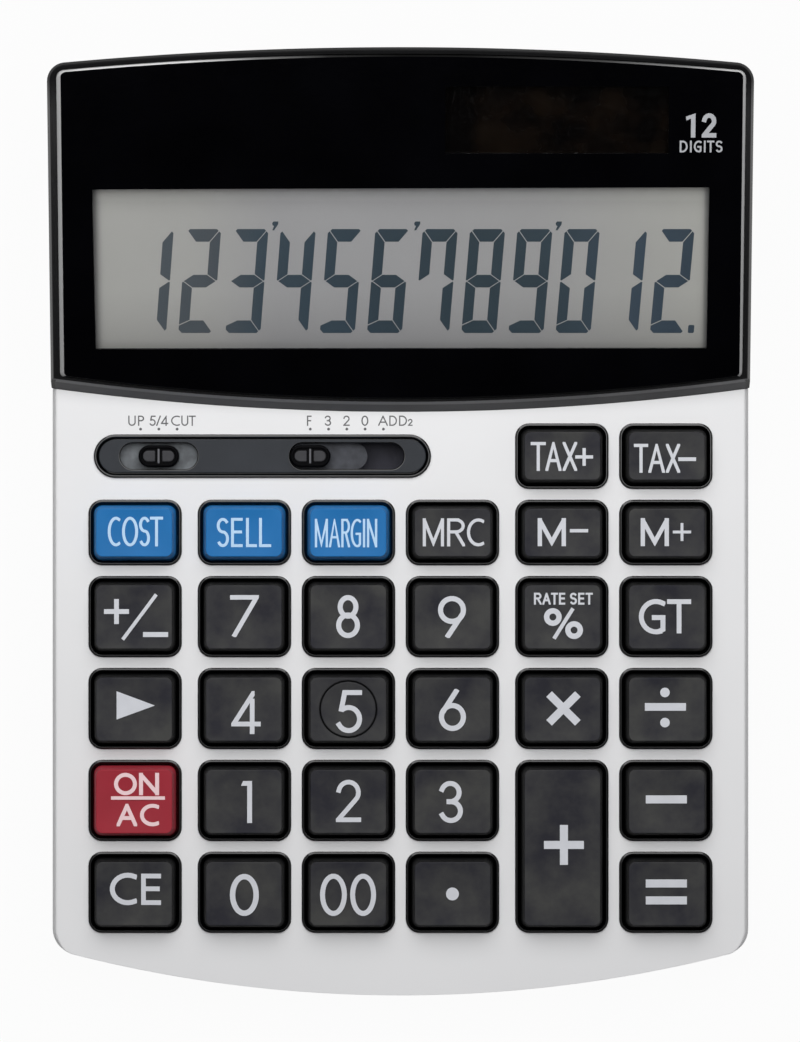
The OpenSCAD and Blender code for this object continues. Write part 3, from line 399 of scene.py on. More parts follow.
def solar_glass():
    """Dark brown cell in four strips."""
    n = Nodes("solar_glass")
    strip = SOLAR_HALF_W / 2
    step = n.add("ShaderNodeMath", operation="MULTIPLY_ADD")
    step.inputs[1].default_value = 1000 / strip
    step.inputs[2].default_value = -(SOLAR_X - SOLAR_HALF_W) / strip
    n.link(n.axis(n.coords, "X"), step.inputs[0])
    wave = n.math("PINGPONG", step.outputs["Value"], value=0.5)
    line = n.ramp(wave, ((0.0, rgb(8, 6, 6)), (0.03, rgb(3, 2, 2))))
    cloud = n.ramp(n.noise(120, 3.0), ((0.42, rgb(4, 3, 3)), (0.72, rgb(20, 14, 9))))
    n.link(n.product(line, cloud, "LIGHTEN"), n.shader.inputs["Base Color"])
    n.link(n.remap(n.noise(800, 2.0), 0.1, 0.2), n.shader.inputs["Roughness"])
    n.shader.inputs["Specular IOR Level"].default_value = 0.1
    n.bump(wave, 0.01)
    return n.material


BLACK = housing_black()
KEY_BLACK = key_black()
LENS_BLACK = lens_black()
LENS_EDGE_HIGHLIGHT = lens_edge_painted_highlight()
CLEAR = clear_pane()
LCD_CELL = lcd_cell()
SEGMENT = lcd_segment()
SOLAR = solar_glass()


SLOPE_UP = Vector((0, -math.sin(DISPLAY_TILT), math.cos(DISPLAY_TILT)))


class Shape:
    """Points, normals and faces of one piece, in millimetres."""

    def __init__(self):
        self.points, self.normals, self.faces, self.slots = [], [], [], []

    def loop(self, path, z, lean):
        """A ring of points along a path. z and lean may be functions of the point."""
        first = len(self.points)
        up = SLOPE_UP if callable(z) else Vector((0, 0, 1))
        for x, y, nx, ny in path:
            a = math.radians(lean(nx, ny) if callable(lean) else lean)
            self.points.append(Vector((x, y, z(y) if callable(z) else z)))
            self.normals.append((Vector((nx, ny, 0)) * math.cos(a) + up * math.sin(a)).normalized())
        return list(range(first, len(self.points)))

    def quads(self, a, b, slot=0):
        """Faces between two rings, outwards when b lies above a or inside it."""
        for i in range(len(a)):
            j = (i + 1) % len(a)
            corners = (a[i], a[j], b[j], b[i])
            face = []
            for c in corners:
                if all((self.points[c] - self.points[f]).length > 1e-5 for f in face):
                    face.append(c)
            if len(face) > 2:
                self.faces.append(face)
                self.slots.append(slot)

    def band(self, a, za, b, zb, lean, slot=0):
        """Faces between two paths at their heights, with one lean."""
        self.quads(self.loop(a, za, lean), self.loop(b, zb, lean), slot)

    def sweep(self, path, profile, slot=0):
        """Carries a profile of (inset, z, lean) along path(inset)."""
        last = None
        for inset, z, lean in profile:
            ring = self.loop(path(inset), z, lean)
            if last is not None:
                self.quads(last, ring, slot)
            last = ring

    def fill(self, loops, z, up=True, slot=0, normal=None):
        """A flat or sloped face inside the first loop and outside the others."""
        normal = normal or Vector((0, 0, 1))
        normal = normal if up else -normal
        flat = [[Vector((p[0], p[1], 0)) for p in path] for path in loops]
        first = len(self.points)
        for path in loops:
            for p in path:
                self.points.append(Vector((p[0], p[1], z(p[1]) if callable(z) else z)))
                self.normals.append(normal)
        for tri in tessellate_polygon(flat):
            a, b, c = (self.points[first + i] for i in tri)
            turn = (b.x - a.x) * (c.y - a.y) - (b.y - a.y) * (c.x - a.x)
            if abs(turn) > 1e-9:
                self.faces.append([first + i for i in (tri if (turn > 0) == up else tri[::-1])])
                self.slots.append(slot)

    def slab(self, outer, corners, holes, foot, top):
        """A flat plate with holes. The corners are the outer path's, each of them once."""
        self.fill([corners] + holes, top)
        self.fill([corners] + holes, foot, up=False)
        self.band(outer, foot, outer, top, 0)
        for hole in holes:
            self.band(hole, top, hole, foot, 180)


def build(name, shape, materials, body, replaces=(), matrix=STAND):
    """Makes a shape into a piece that rides on a body."""
    move, turn = MM @ matrix, matrix.to_3x3()
    mesh = bpy.data.meshes.new(name)
    mesh.from_pydata([move @ p for p in shape.points], [], shape.faces)
    for material in materials:
        mesh.materials.append(material)
    mesh.polygons.foreach_set("material_index", shape.slots)
    mesh.polygons.foreach_set("use_smooth", [True] * len(shape.faces))
    mesh.update()
    mesh.normals_split_custom_set_from_vertices([(turn @ n).normalized() for n in shape.normals])
    obj = bpy.data.objects.new(name, mesh)
    bpy.context.scene.collection.objects.link(obj)
    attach(obj, body)
    if replaces:
        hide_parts(*replaces)
    return obj


def arc(cx, cy, r, start, end, count):
    """Points of an arc with their outward normals: (x, y, nx, ny)."""
    path = []
    for i in range(count + 1):
        a = math.radians(start + (end - start) * i / count)
        path.append((cx + r * math.cos(a), cy + r * math.sin(a), math.cos(a), math.sin(a)))
    return path


def round_rect(w, l, r, x=0.0, y=0.0, count=8, along=0):
    """A rectangle with round corners, and with some more points along each side."""
    corners = []
    for k, (sx, sy) in enumerate(((1, -1), (1, 1), (-1, 1), (-1, -1))):
        corners.append(arc(x + sx * (w / 2 - r), y + sy * (l / 2 - r), r, 90 * k - 90, 90 * k, count))
    path = []
    for here, after in zip(corners, corners[1:] + corners[:1]):
        a, b = here[-1], after[0]
        path += here
        path += [tuple(p + (q - p) * i / (along + 1) for p, q in zip(a, b)) for i in range(1, along + 1)]
    return path


def round_rects(w, l, r, x=0.0, y=0.0, count=8, along=0):
    """The same rectangle as a function of its inset."""
    return lambda d: round_rect(w - 2 * d, l - 2 * d, max(r - d, 0.05), x, y, count, along)


def pills(w, h, x, y, count=14):
    """A rectangle with half-round ends, as a function of its inset."""
    return round_rects(w, h, h / 2 - 0.01, x, y, count)


def bowed(half, front, front_r, rear, rear_r, count=8, wide=48, end=LIP_END):
    """Straight sides, bowed front and rear edges given as (centre, radius), and round corners.
    The front edge has a point more at the end distance from both its ends."""
    fx, rx = half - front_r, half - rear_r
    fy = front[0] - math.sqrt((front[1] - front_r) ** 2 - fx ** 2)
    ry = rear[0] + math.sqrt((rear[1] - rear_r) ** 2 - rx ** 2)
    fa = math.degrees(math.atan2(fy - front[0], fx))
    ra = math.degrees(math.atan2(ry - rear[0], rx))
    turn = math.degrees(end / front[1])
    return (
        arc(0, front[0], front[1], -180 - fa + turn, fa - turn, 1)[:1]
        + arc(0, front[0], front[1], -180 - fa, fa, wide)[1:-1]
        + arc(0, front[0], front[1], -180 - fa + turn, fa - turn, 1)[1:]
        + arc(fx, fy, front_r, fa, 0, count)
        + arc(rx, ry, rear_r, 0, ra, count)
        + arc(0, rear[0], rear[1], ra, 180 - ra, wide)[1:-1]
        + arc(-rx, ry, rear_r, 180 - ra, 180, count)
        + arc(-fx, fy, front_r, 180, 180 - fa, count)
    )


def hood(d, lip):
    """The display housing, with its front edge set back from the lip's foot."""
    return bowed(HALF_W - d, (LIP_C, LIP_R - lip), 0.15, (REAR_C, REAR_R - d), REAR_CORNER - d)


def lens(d):
    """The lens, a little to the right of the housing's middle."""
    path = bowed(HALF_W - LENS_SIDE - d, (LIP_C, LIP_R - LENS_FRONT - d), max(LENS_CORNER - d, 0.2),
                 (REAR_C, REAR_R - LENS_REAR - d), max(LENS_REAR_CORNER - d, 0.2))
    return [(x + LENS_SHIFT, y, nx, ny) for x, y, nx, ny in path]


def plate(d, lip=0.0):
    """The face plate: bowed in front, and hollowed along the lip behind."""
    half, fx = HALF_W - d, HALF_W - FRONT_CORNER
    fy = FRONT_C - math.sqrt((FRONT_R - FRONT_CORNER) ** 2 - fx ** 2)
    fa = math.degrees(math.atan2(fy - FRONT_C, fx))
    r = LIP_R + SEAM + lip
    reach = math.asin(half / r)
    rear = []
    for i in range(49):
        t = reach * (1 - i / 24)
        rear.append((r * math.sin(t), LIP_C - r * math.cos(t), -math.sin(t), math.cos(t)))
    right, left = rear[0][:2], rear[-1][:2]
    return (
        arc(0, FRONT_C, FRONT_R - d, -180 - fa, fa, 48)[1:-1]
        + arc(fx, fy, FRONT_CORNER - d, fa, 0, 8)
        + [right + (1, 0)] + rear + [left + (-1, 0)]
        + arc(-fx, fy, FRONT_CORNER - d, 180, 180 - fa, 8)
    )


def brow(d):
    """The face plate's edge, with a steeper shoulder in front than at its sides."""
    path = []
    for (x, y, nx, ny), (ox, oy, _, _) in zip(plate(d), plate(0)):
        k = 0.85 * max(0.0, -ny) ** 3
        path.append((x + (ox - x) * k, y + (oy - y) * k, nx, ny))
    return path


def slope(w=0.0):
    """Height of a plane beside the display's, as a function of y."""
    return lambda y: LIP_H + (y - LIP_Y) * math.tan(DISPLAY_TILT) + w / math.cos(DISPLAY_TILT)


def edge(inset, z, r, count=6):
    """A rounded outer edge that ends flat at height z."""
    out = []
    for i in range(count + 1):
        a = 90 * i / count
        c, s = math.cos(math.radians(a)), math.sin(math.radians(a))
        out.append((inset + r * (1 - c), z - r + r * s, a))
    return out


def inner_edge(inset, z, r, count=4):
    """A rounded edge from a flat top into a hole whose wall stands at this inset."""
    out = []
    for i in range(count + 1):
        a = math.radians(90 * i / count)
        out.append((inset - r + r * math.sin(a), z - r + r * math.cos(a), 90 + 90 * i / count))
    return out


# Column and row of each key, from the left and from the display
KEYS = {
    "key_tax_plus": (4, 0), "key_tax_minus": (5, 0),
    "key_cost": (0, 1), "key_sell": (1, 1), "key_margin": (2, 1),
    "key_memory_recall": (3, 1), "key_memory_minus": (4, 1), "key_memory_plus": (5, 1),
    "key_sign": (0, 2), "key_7": (1, 2), "key_8": (2, 2), "key_9": (3, 2),
    "key_percent": (4, 2), "key_grand_total": (5, 2),
    "key_shift": (0, 3), "key_4": (1, 3), "key_5": (2, 3), "key_6": (3, 3),
    "key_multiply": (4, 3), "key_divide": (5, 3),
    "key_on_clear": (0, 4), "key_1": (1, 4), "key_2": (2, 4), "key_3": (3, 4),
    "key_add": (4, 4), "key_subtract": (5, 4),
    "key_clear_entry": (0, 5), "key_0": (1, 5), "key_00": (2, 5), "key_point": (3, 5),
    "key_equals": (5, 5),
}


def key_place(name):
    """Centre and rim length of a key."""
    column, row = KEYS[name]
    if name == "key_add":
        return COLUMN_X[column], TALL_Y, TALL_RIM_L
    return COLUMN_X[column], ROW_Y[row], LOW_RIM_L if row < 2 else HIGH_RIM_L


def rim_paths(name):
    """A key's rim as a function of its inset."""
    x, y, length = key_place(name)
    return round_rects(RIM_W, length, RIM_R, x, y)


# Silver face plate with its walls
shape = Shape()
SHOULDER = [(0, -3.4, 4), (0.06, -3.1, 12), (0.68, -0.62, 17), (0.8, -0.33, 31), (0.95, -0.15, 51),
            (1.15, -0.05, 71), (1.4, 0, 90)]
shape.sweep(plate, [(FOOT_EDGE, SPLIT_Z, -90), (0, SPLIT_Z + FOOT_EDGE, 0), SHOULDER[0]])
shape.sweep(brow, SHOULDER)
holes = [rim_paths(name)(-SEAM) for name in KEYS] + [pills(PANEL_W, PANEL_H, PANEL_X, PANEL_Y)(-SEAM)]
shape.fill([brow(SHOULDER[-1][0])] + holes, 0)
for hole in holes:
    shape.band(hole, 0, hole, -PLATE_T, 180)
inside = plate(WALL, WALL)
shape.fill([inside] + holes, -PLATE_T, up=False)
shape.band(inside, -PLATE_T, inside, SPLIT_Z, 180)
shape.band(inside, SPLIT_Z, plate(FOOT_EDGE), SPLIT_Z, -90)
build("face_plate", shape, [SILVER], "case", ["upper_case"])

# Black display housing: walls, lip, rim, pocket for the lens and deck with two windows
LIP_LEAN = 44.0
LIP_FACE = LIP_BAND - 0.36
POCKET = 0.12
# The housing's bevelled top edge: inset and drop of each ring at the sides and its lean there, then
# how far it is set back from the lip's foot and its lean there
TOP_EDGE = [
    (0.0, 1.15, 8, 0.66 * LIP_FACE, LIP_LEAN), (0.05, 1.05, 27, 0.77 * LIP_FACE, LIP_LEAN),
    (0.29, 0.65, 28, LIP_FACE, LIP_LEAN), (0.58, 0.17, 29, LIP_BAND - 0.2, 66),
    (0.68, 0.06, 50, LIP_BAND - 0.1, 77), (0.76, 0.015, 70, LIP_BAND - 0.04, 85), (0.84, 0.0, 90, LIP_BAND, 90)]


def lean_of(side, front):
    """A lean that turns from its value at the sides to the one in front."""
    return lambda nx, ny: side + (front - side) * max(0.0, -ny) ** 4


shape = Shape()
rings = [
    shape.loop(hood(FOOT_EDGE, 0), SPLIT_Z, -90),
    shape.loop(hood(0, 0), SPLIT_Z + FOOT_EDGE, 0),
    shape.loop(hood(0, 0), 0, lean_of(0, LIP_LEAN)),
]
for inset, drop, side, back, front in TOP_EDGE:
    rings.append(shape.loop(hood(inset, back), slope(-drop), lean_of(side, front)))
# The lip's face takes a paler grey, and its upper edge a painted highlight
LIP_SLOTS = (0, 0, 1, 1, 2, 2, 0, 0, 0)
for a, b, lip_slot in zip(rings, rings[1:], LIP_SLOTS):
    first = len(shape.faces)
    shape.quads(a, b)
    for k in range(first, len(shape.faces)):
        face = shape.faces[k]
        middle = sum(shape.points[c].x for c in face) / len(face)
        if all(shape.normals[c].y < -0.3 for c in face) and abs(middle) < HALF_W - LIP_END:
            shape.slots[k] = lip_slot
pocket = lens(-POCKET)
shape.band(hood(TOP_EDGE[-1][0], LIP_BAND), slope(), pocket, slope(), 90)
shape.band(pocket, slope(), pocket, slope(-LENS_T), 180)


def on_slope(x, v, w=0.0):
    """A point of the display's frame, seen from above in the keypad's frame."""
    return x, LIP_Y + v * math.cos(DISPLAY_TILT) - w * math.sin(DISPLAY_TILT)


def window(corners, w, grow=0.0):
    """A window's outline at a height beside the display's plane. Its corners run from the front right
    one round to the front left one, and each is there twice, with the normals of both its sides."""
    path = []
    sides = ((0, -1), (1, 0), (0, 1), (-1, 0), (0, -1))
    for k, (x, v) in enumerate(corners):
        point = on_slope(x + (grow if k < 2 else -grow), v + (grow if k in (1, 2) else -grow), w)
        path += [point + sides[k], point + sides[k + 1]]
    return path


WINDOWS = (
    ((LCD_HALF_W + 0.3, LCD_FRONT + 0.1), (LCD_HALF_W + 0.5, LCD_REAR + 0.8),
     (-LCD_HALF_W - 0.4, LCD_REAR + 0.35), (-LCD_HALF_W, LCD_FRONT - 0.05)),
    ((SOLAR_X + SOLAR_HALF_W, SOLAR_FRONT), (SOLAR_X + SOLAR_HALF_W, SOLAR_REAR),
     (SOLAR_X - SOLAR_HALF_W, SOLAR_REAR), (SOLAR_X - SOLAR_HALF_W, SOLAR_FRONT)),
)


def deduped(path):
    """A path with double corners, with each of them once."""
    return path[::2]


def windowed(shape, outer, w, grow, up=True):
    """A face along the display's slope, open at both windows."""
    holes = [deduped(window(corners, w, grow)) for corners in WINDOWS]
    shape.fill([outer] + holes, slope(w), up, normal=SLOPE_UP)


def window_walls(shape, top, foot, grow, slot):
    for corners in WINDOWS:
        shape.band(window(corners, top, grow), slope(top), window(corners, foot, grow), slope(foot), 180, slot)


deck_foot = -LENS_T - DECK_T
windowed(shape, pocket, -LENS_T, WINDOW_EXTRA)
window_walls(shape, -LENS_T, deck_foot, WINDOW_EXTRA, 3)
inside = hood(WALL, LIP_BAND + WALL)
windowed(shape, inside, deck_foot, WINDOW_EXTRA, up=False)
shape.band(inside, slope(deck_foot), inside, SPLIT_Z, 180)
shape.band(inside, SPLIT_Z, hood(FOOT_EDGE, 0), SPLIT_Z, -90)
build("display_hood", shape, [BLACK, LIP, LIP_HIGHLIGHT, WELL], "case", ["display_housing"])

# Lens: black print with two windows, a bevel with a painted highlight, and clear panes
BEVEL, BEVEL_FRONT, BEVEL_REAR, BEVEL_SHIFT = 0.78, 0.3, 0.5, 0.14
BEVEL_FOOT, BEVEL_LEAN = -0.5, 40
LENS_TOP, LENS_UNDER = 0.02, -LENS_T + 0.05
PANE_GAP = 0.01


def lens_top():
    """The lens's flat top, inside its bevel."""
    path = bowed(HALF_W - LENS_SIDE - BEVEL,
                 (LIP_C, LIP_R - LENS_FRONT - BEVEL_FRONT), LENS_CORNER - BEVEL_FRONT,
                 (REAR_C, REAR_R - LENS_REAR - BEVEL_REAR), LENS_REAR_CORNER - BEVEL_REAR)
    return [(x + LENS_SHIFT + BEVEL_SHIFT, y, nx, ny) for x, y, nx, ny in path]


shape = Shape()
shape.band(lens(0), slope(LENS_UNDER), lens(0), slope(BEVEL_FOOT), 0, 1)
first = len(shape.faces)
shape.band(lens(0), slope(BEVEL_FOOT), lens_top(), slope(LENS_TOP), BEVEL_LEAN, 1)
# Bevel faces that look to the front take a dark grey: painted shade
for k in range(first, len(shape.faces)):
    if all(shape.normals[c].y < -0.7 for c in shape.faces[k]):
        shape.slots[k] = 3
windowed(shape, lens_top(), LENS_TOP, 0.0)
window_walls(shape, LENS_TOP, LENS_UNDER, 0.0, 2)
windowed(shape, lens(0), LENS_UNDER, 0.0, up=False)
build("lens_print", shape, [LENS_BLACK, LENS_EDGE_HIGHLIGHT, WELL, LENS_FRONT_SHADE], "case", ["display_lens"])
for name, corners in zip(("lcd_pane", "solar_pane"), WINDOWS):
    shape = Shape()
    top, foot = window(corners, LENS_TOP, -PANE_GAP), window(corners, LENS_UNDER, -PANE_GAP)
    shape.band(foot, slope(LENS_UNDER), top, slope(LENS_TOP), 0, 1)
    shape.fill([deduped(top)], slope(LENS_TOP), normal=SLOPE_UP)
    shape.fill([deduped(foot)], slope(LENS_UNDER), False, normal=SLOPE_UP)
    build(name, shape, [CLEAR, WELL], "case")

# Rims round the keys and the switch panel, on a web below the plate
shape = Shape()
rim_profile = [(0, -PLATE_T, 0)] + [(inset, RIM_RISE - drop, lean) for inset, drop, lean in (
    (0, 0.16, 10), (0.02, 0.12, 62), (0.24, 0.01, 64), (0.28, 0, 90), (0.38, 0, 90), (0.44, 0.03, 120),
    (0.62, 0.35, 150), (0.82, 0.7, 165), (RIM_T, 1.2, 175))] + [(RIM_T, -PLATE_T, 180)]
for path in [rim_paths(name) for name in KEYS] + [pills(PANEL_W, PANEL_H, PANEL_X, PANEL_Y)]:
    shape.sweep(path, rim_profile)
    shape.band(path(RIM_T), -PLATE_T, path(0), -PLATE_T, -90)
web_outer = round_rect(WEB_W, WEB_L, RIM_R, 0, WEB_Y)
channel = round_rect(CHANNEL_W, STRIP_H + 0.4, 0.3, CHANNEL_X, PANEL_Y)
web_holes = [rim_paths(name)(RIM_T) for name in KEYS] + [channel]
shape.slab(web_outer, web_outer, web_holes, WEB_Z, WEB_TOP)
build("key_rims", shape, [RIM], "case", ["keypad_frame"])

# Grey cover of the slide switches
shape = Shape()
cover = pills(PANEL_W - 2 * COVER_IN, PANEL_H - 2 * COVER_IN, PANEL_X, PANEL_Y)
slots = [pills(ROUNDING_SLOT, SLOT_H, ROUNDING_X, PANEL_Y), pills(DECIMAL_SLOT, SLOT_H, DECIMAL_X, PANEL_Y)]
shape.sweep(cover, [(0, -PLATE_T, 0)] + edge(0, COVER_TOP, COVER_EDGE, 4))
shape.fill([cover(COVER_EDGE)] + [s(-SLOT_EDGE) for s in slots], COVER_TOP)
# The slot walls and their rounded edges take the rims' near-black, not the cover's grey: painted shade in the
# slots
for s in slots:
    shape.sweep(s, inner_edge(0, COVER_TOP, SLOT_EDGE) + [(0, COVER_FOOT, 180)], 1)
shape.fill([cover(COVER_SKIRT)] + [s(0) for s in slots], COVER_FOOT, up=False)
shape.sweep(cover, [(COVER_SKIRT, COVER_FOOT, 180), (COVER_SKIRT, -PLATE_T, 180)])
shape.sweep(cover, [(COVER_SKIRT, -PLATE_T, -90), (0, -PLATE_T, -90)])
build("switch_cover", shape, [COVER, RIM], "case", ["switch_plate"])


def solid(shape, path, foot, top, r, slot=0):
    """An upright solid with a rounded upper edge."""
    shape.sweep(path, [(0, foot, 0)] + edge(0, top, r, 5), slot)
    shape.fill([path(r)], top, slot=slot)
    shape.fill([path(0)], foot, up=False, slot=slot)


def pad(x, side):
    """A pad of the knob: square towards the ridge, round at the knob's end."""
    left_r, right_r = (PAD_INNER_R, PAD_OUTER_R) if side > 0 else (PAD_OUTER_R, PAD_INNER_R)

    def path(d):
        points = []
        for k, (sx, sy) in enumerate(((1, -1), (1, 1), (-1, 1), (-1, -1))):
            r = right_r if sx > 0 else left_r
            cx = x + side * PAD_X + sx * PAD_HALF_W - sx * r
            cy = PANEL_Y + sy * PAD_HALF_H - sy * r
            points += arc(cx, cy, max(r - d, 0.03), 90 * k - 90, 90 * k, 6)
        return points
    return path


# Slide switches: shutter strip, knob with a groove, two pads and a ridge
# The decimal switch's strip takes the darker copy: painted shade
for name, x, length, shade in (("rounding", ROUNDING_X, ROUNDING_STRIP, STRIP),
                               ("decimal", DECIMAL_REST, DECIMAL_STRIP, STRIP_SHADED)):
    shape = Shape()
    solid(shape, pills(length, STRIP_H, x, PANEL_Y), STRIP_Z, STRIP_Z + STRIP_T, 0.1)
    build(name + "_strip", shape, [shade], name + "_switch", [name + "_slider"])
    shape = Shape()
    body = pills(KNOB_W, KNOB_H, x, PANEL_Y)
    pocket = KNOB_TOP - KNOB_POCKET
    shape.sweep(body, [(0, STRIP_Z + STRIP_T, 0)] + edge(0, KNOB_TOP - 0.1, 0.4)
                + inner_edge(KNOB_RIM, KNOB_TOP - 0.1, 0.2) + [(KNOB_RIM, pocket, 180)])
    shape.fill([body(KNOB_RIM)], pocket)
    shape.fill([body(0)], STRIP_Z + STRIP_T, up=False)
    solid(shape, round_rects(0.46, 3.2, 0.22, x, PANEL_Y), pocket, KNOB_TOP, 0.18, 1)
    for side in (-1, 1):
        solid(shape, pad(x, side), pocket, KNOB_TOP - 0.2, 0.25, 2)
    build(name + "_knob", shape, [KNOB, RIDGE, PAD], name + "_switch")


# Keys
TOP_R, CORNER_GAIN = 1.6, 0.6
EDGE = 0.25
# The ring cut into the middle key, and the shallow bowl inside it
RING_R, RING_HALF, RING_DEPTH, RING_SPREAD, BOWL = 6.05, 0.15, 0.4, 0.17, 0.22
RING_OUTER, RING_INNER = 6.5, 5.4


class Top:
    """The hollow top of one key."""

    def __init__(self, name):
        self.x, self.y, length = key_place(name)
        self.w, self.l = RIM_W - 2 * KEY_IN, length - 2 * KEY_IN
        lean = math.atan2(KEY_LEAN, KEY_RISE - KEY_SHOULDER)
        start = KEY_RISE - EDGE + EDGE * math.sin(lean)
        self.lean = math.degrees(lean)
        self.inset = KEY_LEAN * (start - KEY_SHOULDER) / (KEY_RISE - KEY_SHOULDER) + EDGE * math.cos(lean)
        self.hx, self.hy = self.w / 2 - self.inset, self.l / 2 - self.inset
        self.ringed = name == "key_5"
        self.along = 15 if name == "key_add" else 7

    def height(self, x, y):
        u, v = min(1.0, abs(x) / self.hx), min(1.0, abs(y) / self.hy)
        z = KEY_RISE - DISH * (1 - u * u) * (1 - v * v)
        if self.ringed:
            z -= BOWL * max(0.0, 1 - (math.hypot(x, y) / RING_R) ** 2)
        return z

    def carved(self, x, y):
        """The same height with the ring cut into the middle key."""
        if not self.ringed:
            return self.height(x, y)
        return self.height(x, y) - RING_DEPTH * math.exp(-((math.hypot(x, y) - RING_R) / RING_SPREAD) ** 2)

    def normal(self, x, y):
        h = 0.02
        gx = (self.carved(x + h, y) - self.carved(x - h, y)) / (2 * h)
        gy = (self.carved(x, y + h) - self.carved(x, y - h)) / (2 * h)
        return Vector((-gx, -gy, 1)).normalized()

    def rings(self):
        """Outlines from the edge of the top to its middle."""
        outer = round_rect(2 * self.hx, 2 * self.hy, TOP_R - CORNER_GAIN, 0, 0, 6, self.along)
        if not self.ringed:
            shares = (0.97, 0.93, 0.86, 0.78, 0.7, 0.6, 0.5, 0.4, 0.3, 0.2, 0.1)
            return [[(o[0] * t, o[1] * t) for o in outer] for t in shares]
        turns = [math.atan2(o[1], o[0]) for o in outer]

        def ring(r):
            return [(r * math.cos(a), r * math.sin(a)) for a in turns]
        steps = []
        for t in (0.25, 0.5, 0.75, 1):
            steps.append([(o[0] + (c[0] - o[0]) * t, o[1] + (c[1] - o[1]) * t)
                          for o, c in zip(outer, ring(RING_OUTER))])
        for k in (0.36, 0.27, RING_HALF, 0.07, 0, -0.07, -RING_HALF, -0.27, -0.4):
            steps.append(ring(RING_R + k))
        for k in (0.8, 0.55, 0.3, 0.1):
            steps.append([(c[0] * k, c[1] * k) for c in ring(RING_INNER)])
        return steps


KEY_TONES = {"key_cost": "blue", "key_sell": "blue", "key_margin": "blue", "key_on_clear": "red"}
# The second paint of the black keys is painted shade on their sides and ring groove
PAINTS = {"blue": [KEY_BLUE, KEY_BLUE], "red": [KEY_RED, KEY_RED], "black": [KEY_BLACK, KEY_SIDE_SHADE]}
INKS = {"blue": BLUE_PRINT, "red": RED_PRINT, "black": KEY_PRINT}


def key_cap(name):
    """Builds a key's cap, from its flange to its hollow top."""
    top = Top(name)
    shape = Shape()
    x, y, w, l = top.x, top.y, top.w, top.l
    skirt_r = RIM_R - KEY_IN
    flange = round_rects(w + 2 * FLANGE_OUT, l + 2 * FLANGE_OUT, skirt_r + FLANGE_OUT, x, y, 6, top.along)
    skirt = round_rects(w, l, skirt_r, x, y, 6, top.along)
    shape.fill([flange(0)], KEY_FOOT, up=False)
    shape.sweep(flange, [(0, KEY_FOOT, 0), (0, FLANGE_Z, 0)], 1)
    shape.band(flange(0), FLANGE_Z, skirt(0), FLANGE_Z, 90, 1)
    shape.sweep(skirt, [(0, FLANGE_Z, 0), (0, KEY_SHOULDER - 0.3, 0)], 1)

    def taper(d):
        """The skirt's corners open a little towards the top."""
        r = skirt_r + (TOP_R - skirt_r) * min(1.0, d / top.inset)
        r -= CORNER_GAIN * max(0.0, d - 0.6) / (top.inset - 0.6)
        return round_rect(w - 2 * d, l - 2 * d, r, x, y, 6, top.along)
    profile = [(0, KEY_SHOULDER - 0.3, 0), (0.02, KEY_SHOULDER, top.lean)]
    for i in range(7):
        lean = top.lean + (90 - top.lean) * i / 6
        a = math.radians(lean)
        profile.append((top.inset - EDGE * math.cos(a), KEY_RISE - EDGE + EDGE * math.sin(a), lean))
    shape.sweep(taper, profile[:6], 1)
    shape.sweep(taper, profile[5:])
    last, outer = shape.loop(taper(top.inset), KEY_RISE, 90), [(top.hx, top.hy)]
    for ring in top.rings():
        first = len(shape.points)
        for px, py in ring:
            shape.points.append(Vector((x + px, y + py, top.carved(px, py))))
            shape.normals.append(top.normal(px, py))
        now = list(range(first, len(shape.points)))
        reach = [math.hypot(p[0], p[1]) for p in (ring[0], outer[0])]
        # Faces in the ring groove take the key's second paint, which on the black middle key is painted shade
        groove = top.ringed and all(abs(r - RING_R) < RING_HALF + 0.01 for r in reach)
        shape.quads(last, now, 1 if groove else 0)
        last, outer = now, ring
    shape.faces.append(last)
    shape.slots.append(0)
    tone = KEY_TONES.get(name, "black")
    build(name.replace("key_", "cap_"), shape, PAINTS[tone], name, [name])
    return top


# Silicone sheet and its spring domes
DOME_R, DOME_TOP_R, DOME_WALL, DOME_ROOF, DOME_H = 5.0, 2.8, 0.6, 0.9, 2.5
SHEET_Z, SHEET_T, POST_R = -6.65, 0.8, 1.55
SHEET_HALF_W, SHEET_FRONT, SHEET_REAR = 67.975, -86.606, 20.744
# Notch for the slide switches
NOTCH_LEFT, NOTCH_RIGHT, NOTCH_FRONT = -66.055, 9.635, 8.794
# Posts of the base, each behind a row and between a column and the next
POSTS = ((0, 1), (2, 1), (4, 1), (0, 3), (2, 3), (4, 3), (0, 5), (2, 5), (4, 4))


def sharp(corners):
    """An outline with sharp corners that runs to the left about its area."""
    path = []
    for before, here, after in zip(corners[-1:] + corners[:-1], corners, corners[1:] + corners[:1]):
        for a, b in ((before, here), (here, after)):
            path.append(here + ((b[1] - a[1]) / math.dist(a, b), (a[0] - b[0]) / math.dist(a, b)))
    return path


def dome_places(name):
    """Where a key's dome stands; the tall key has two."""
    x, y, length = key_place(name)
    if length == TALL_RIM_L:
        step = (HIGH_RIM_L + RIM_GAP) / 2
        return [(x, y - step), (x, y + step)]
    return [(x, y)]


def circle(x, y, r):
    return arc(x, y, r, 0, 345, 23)


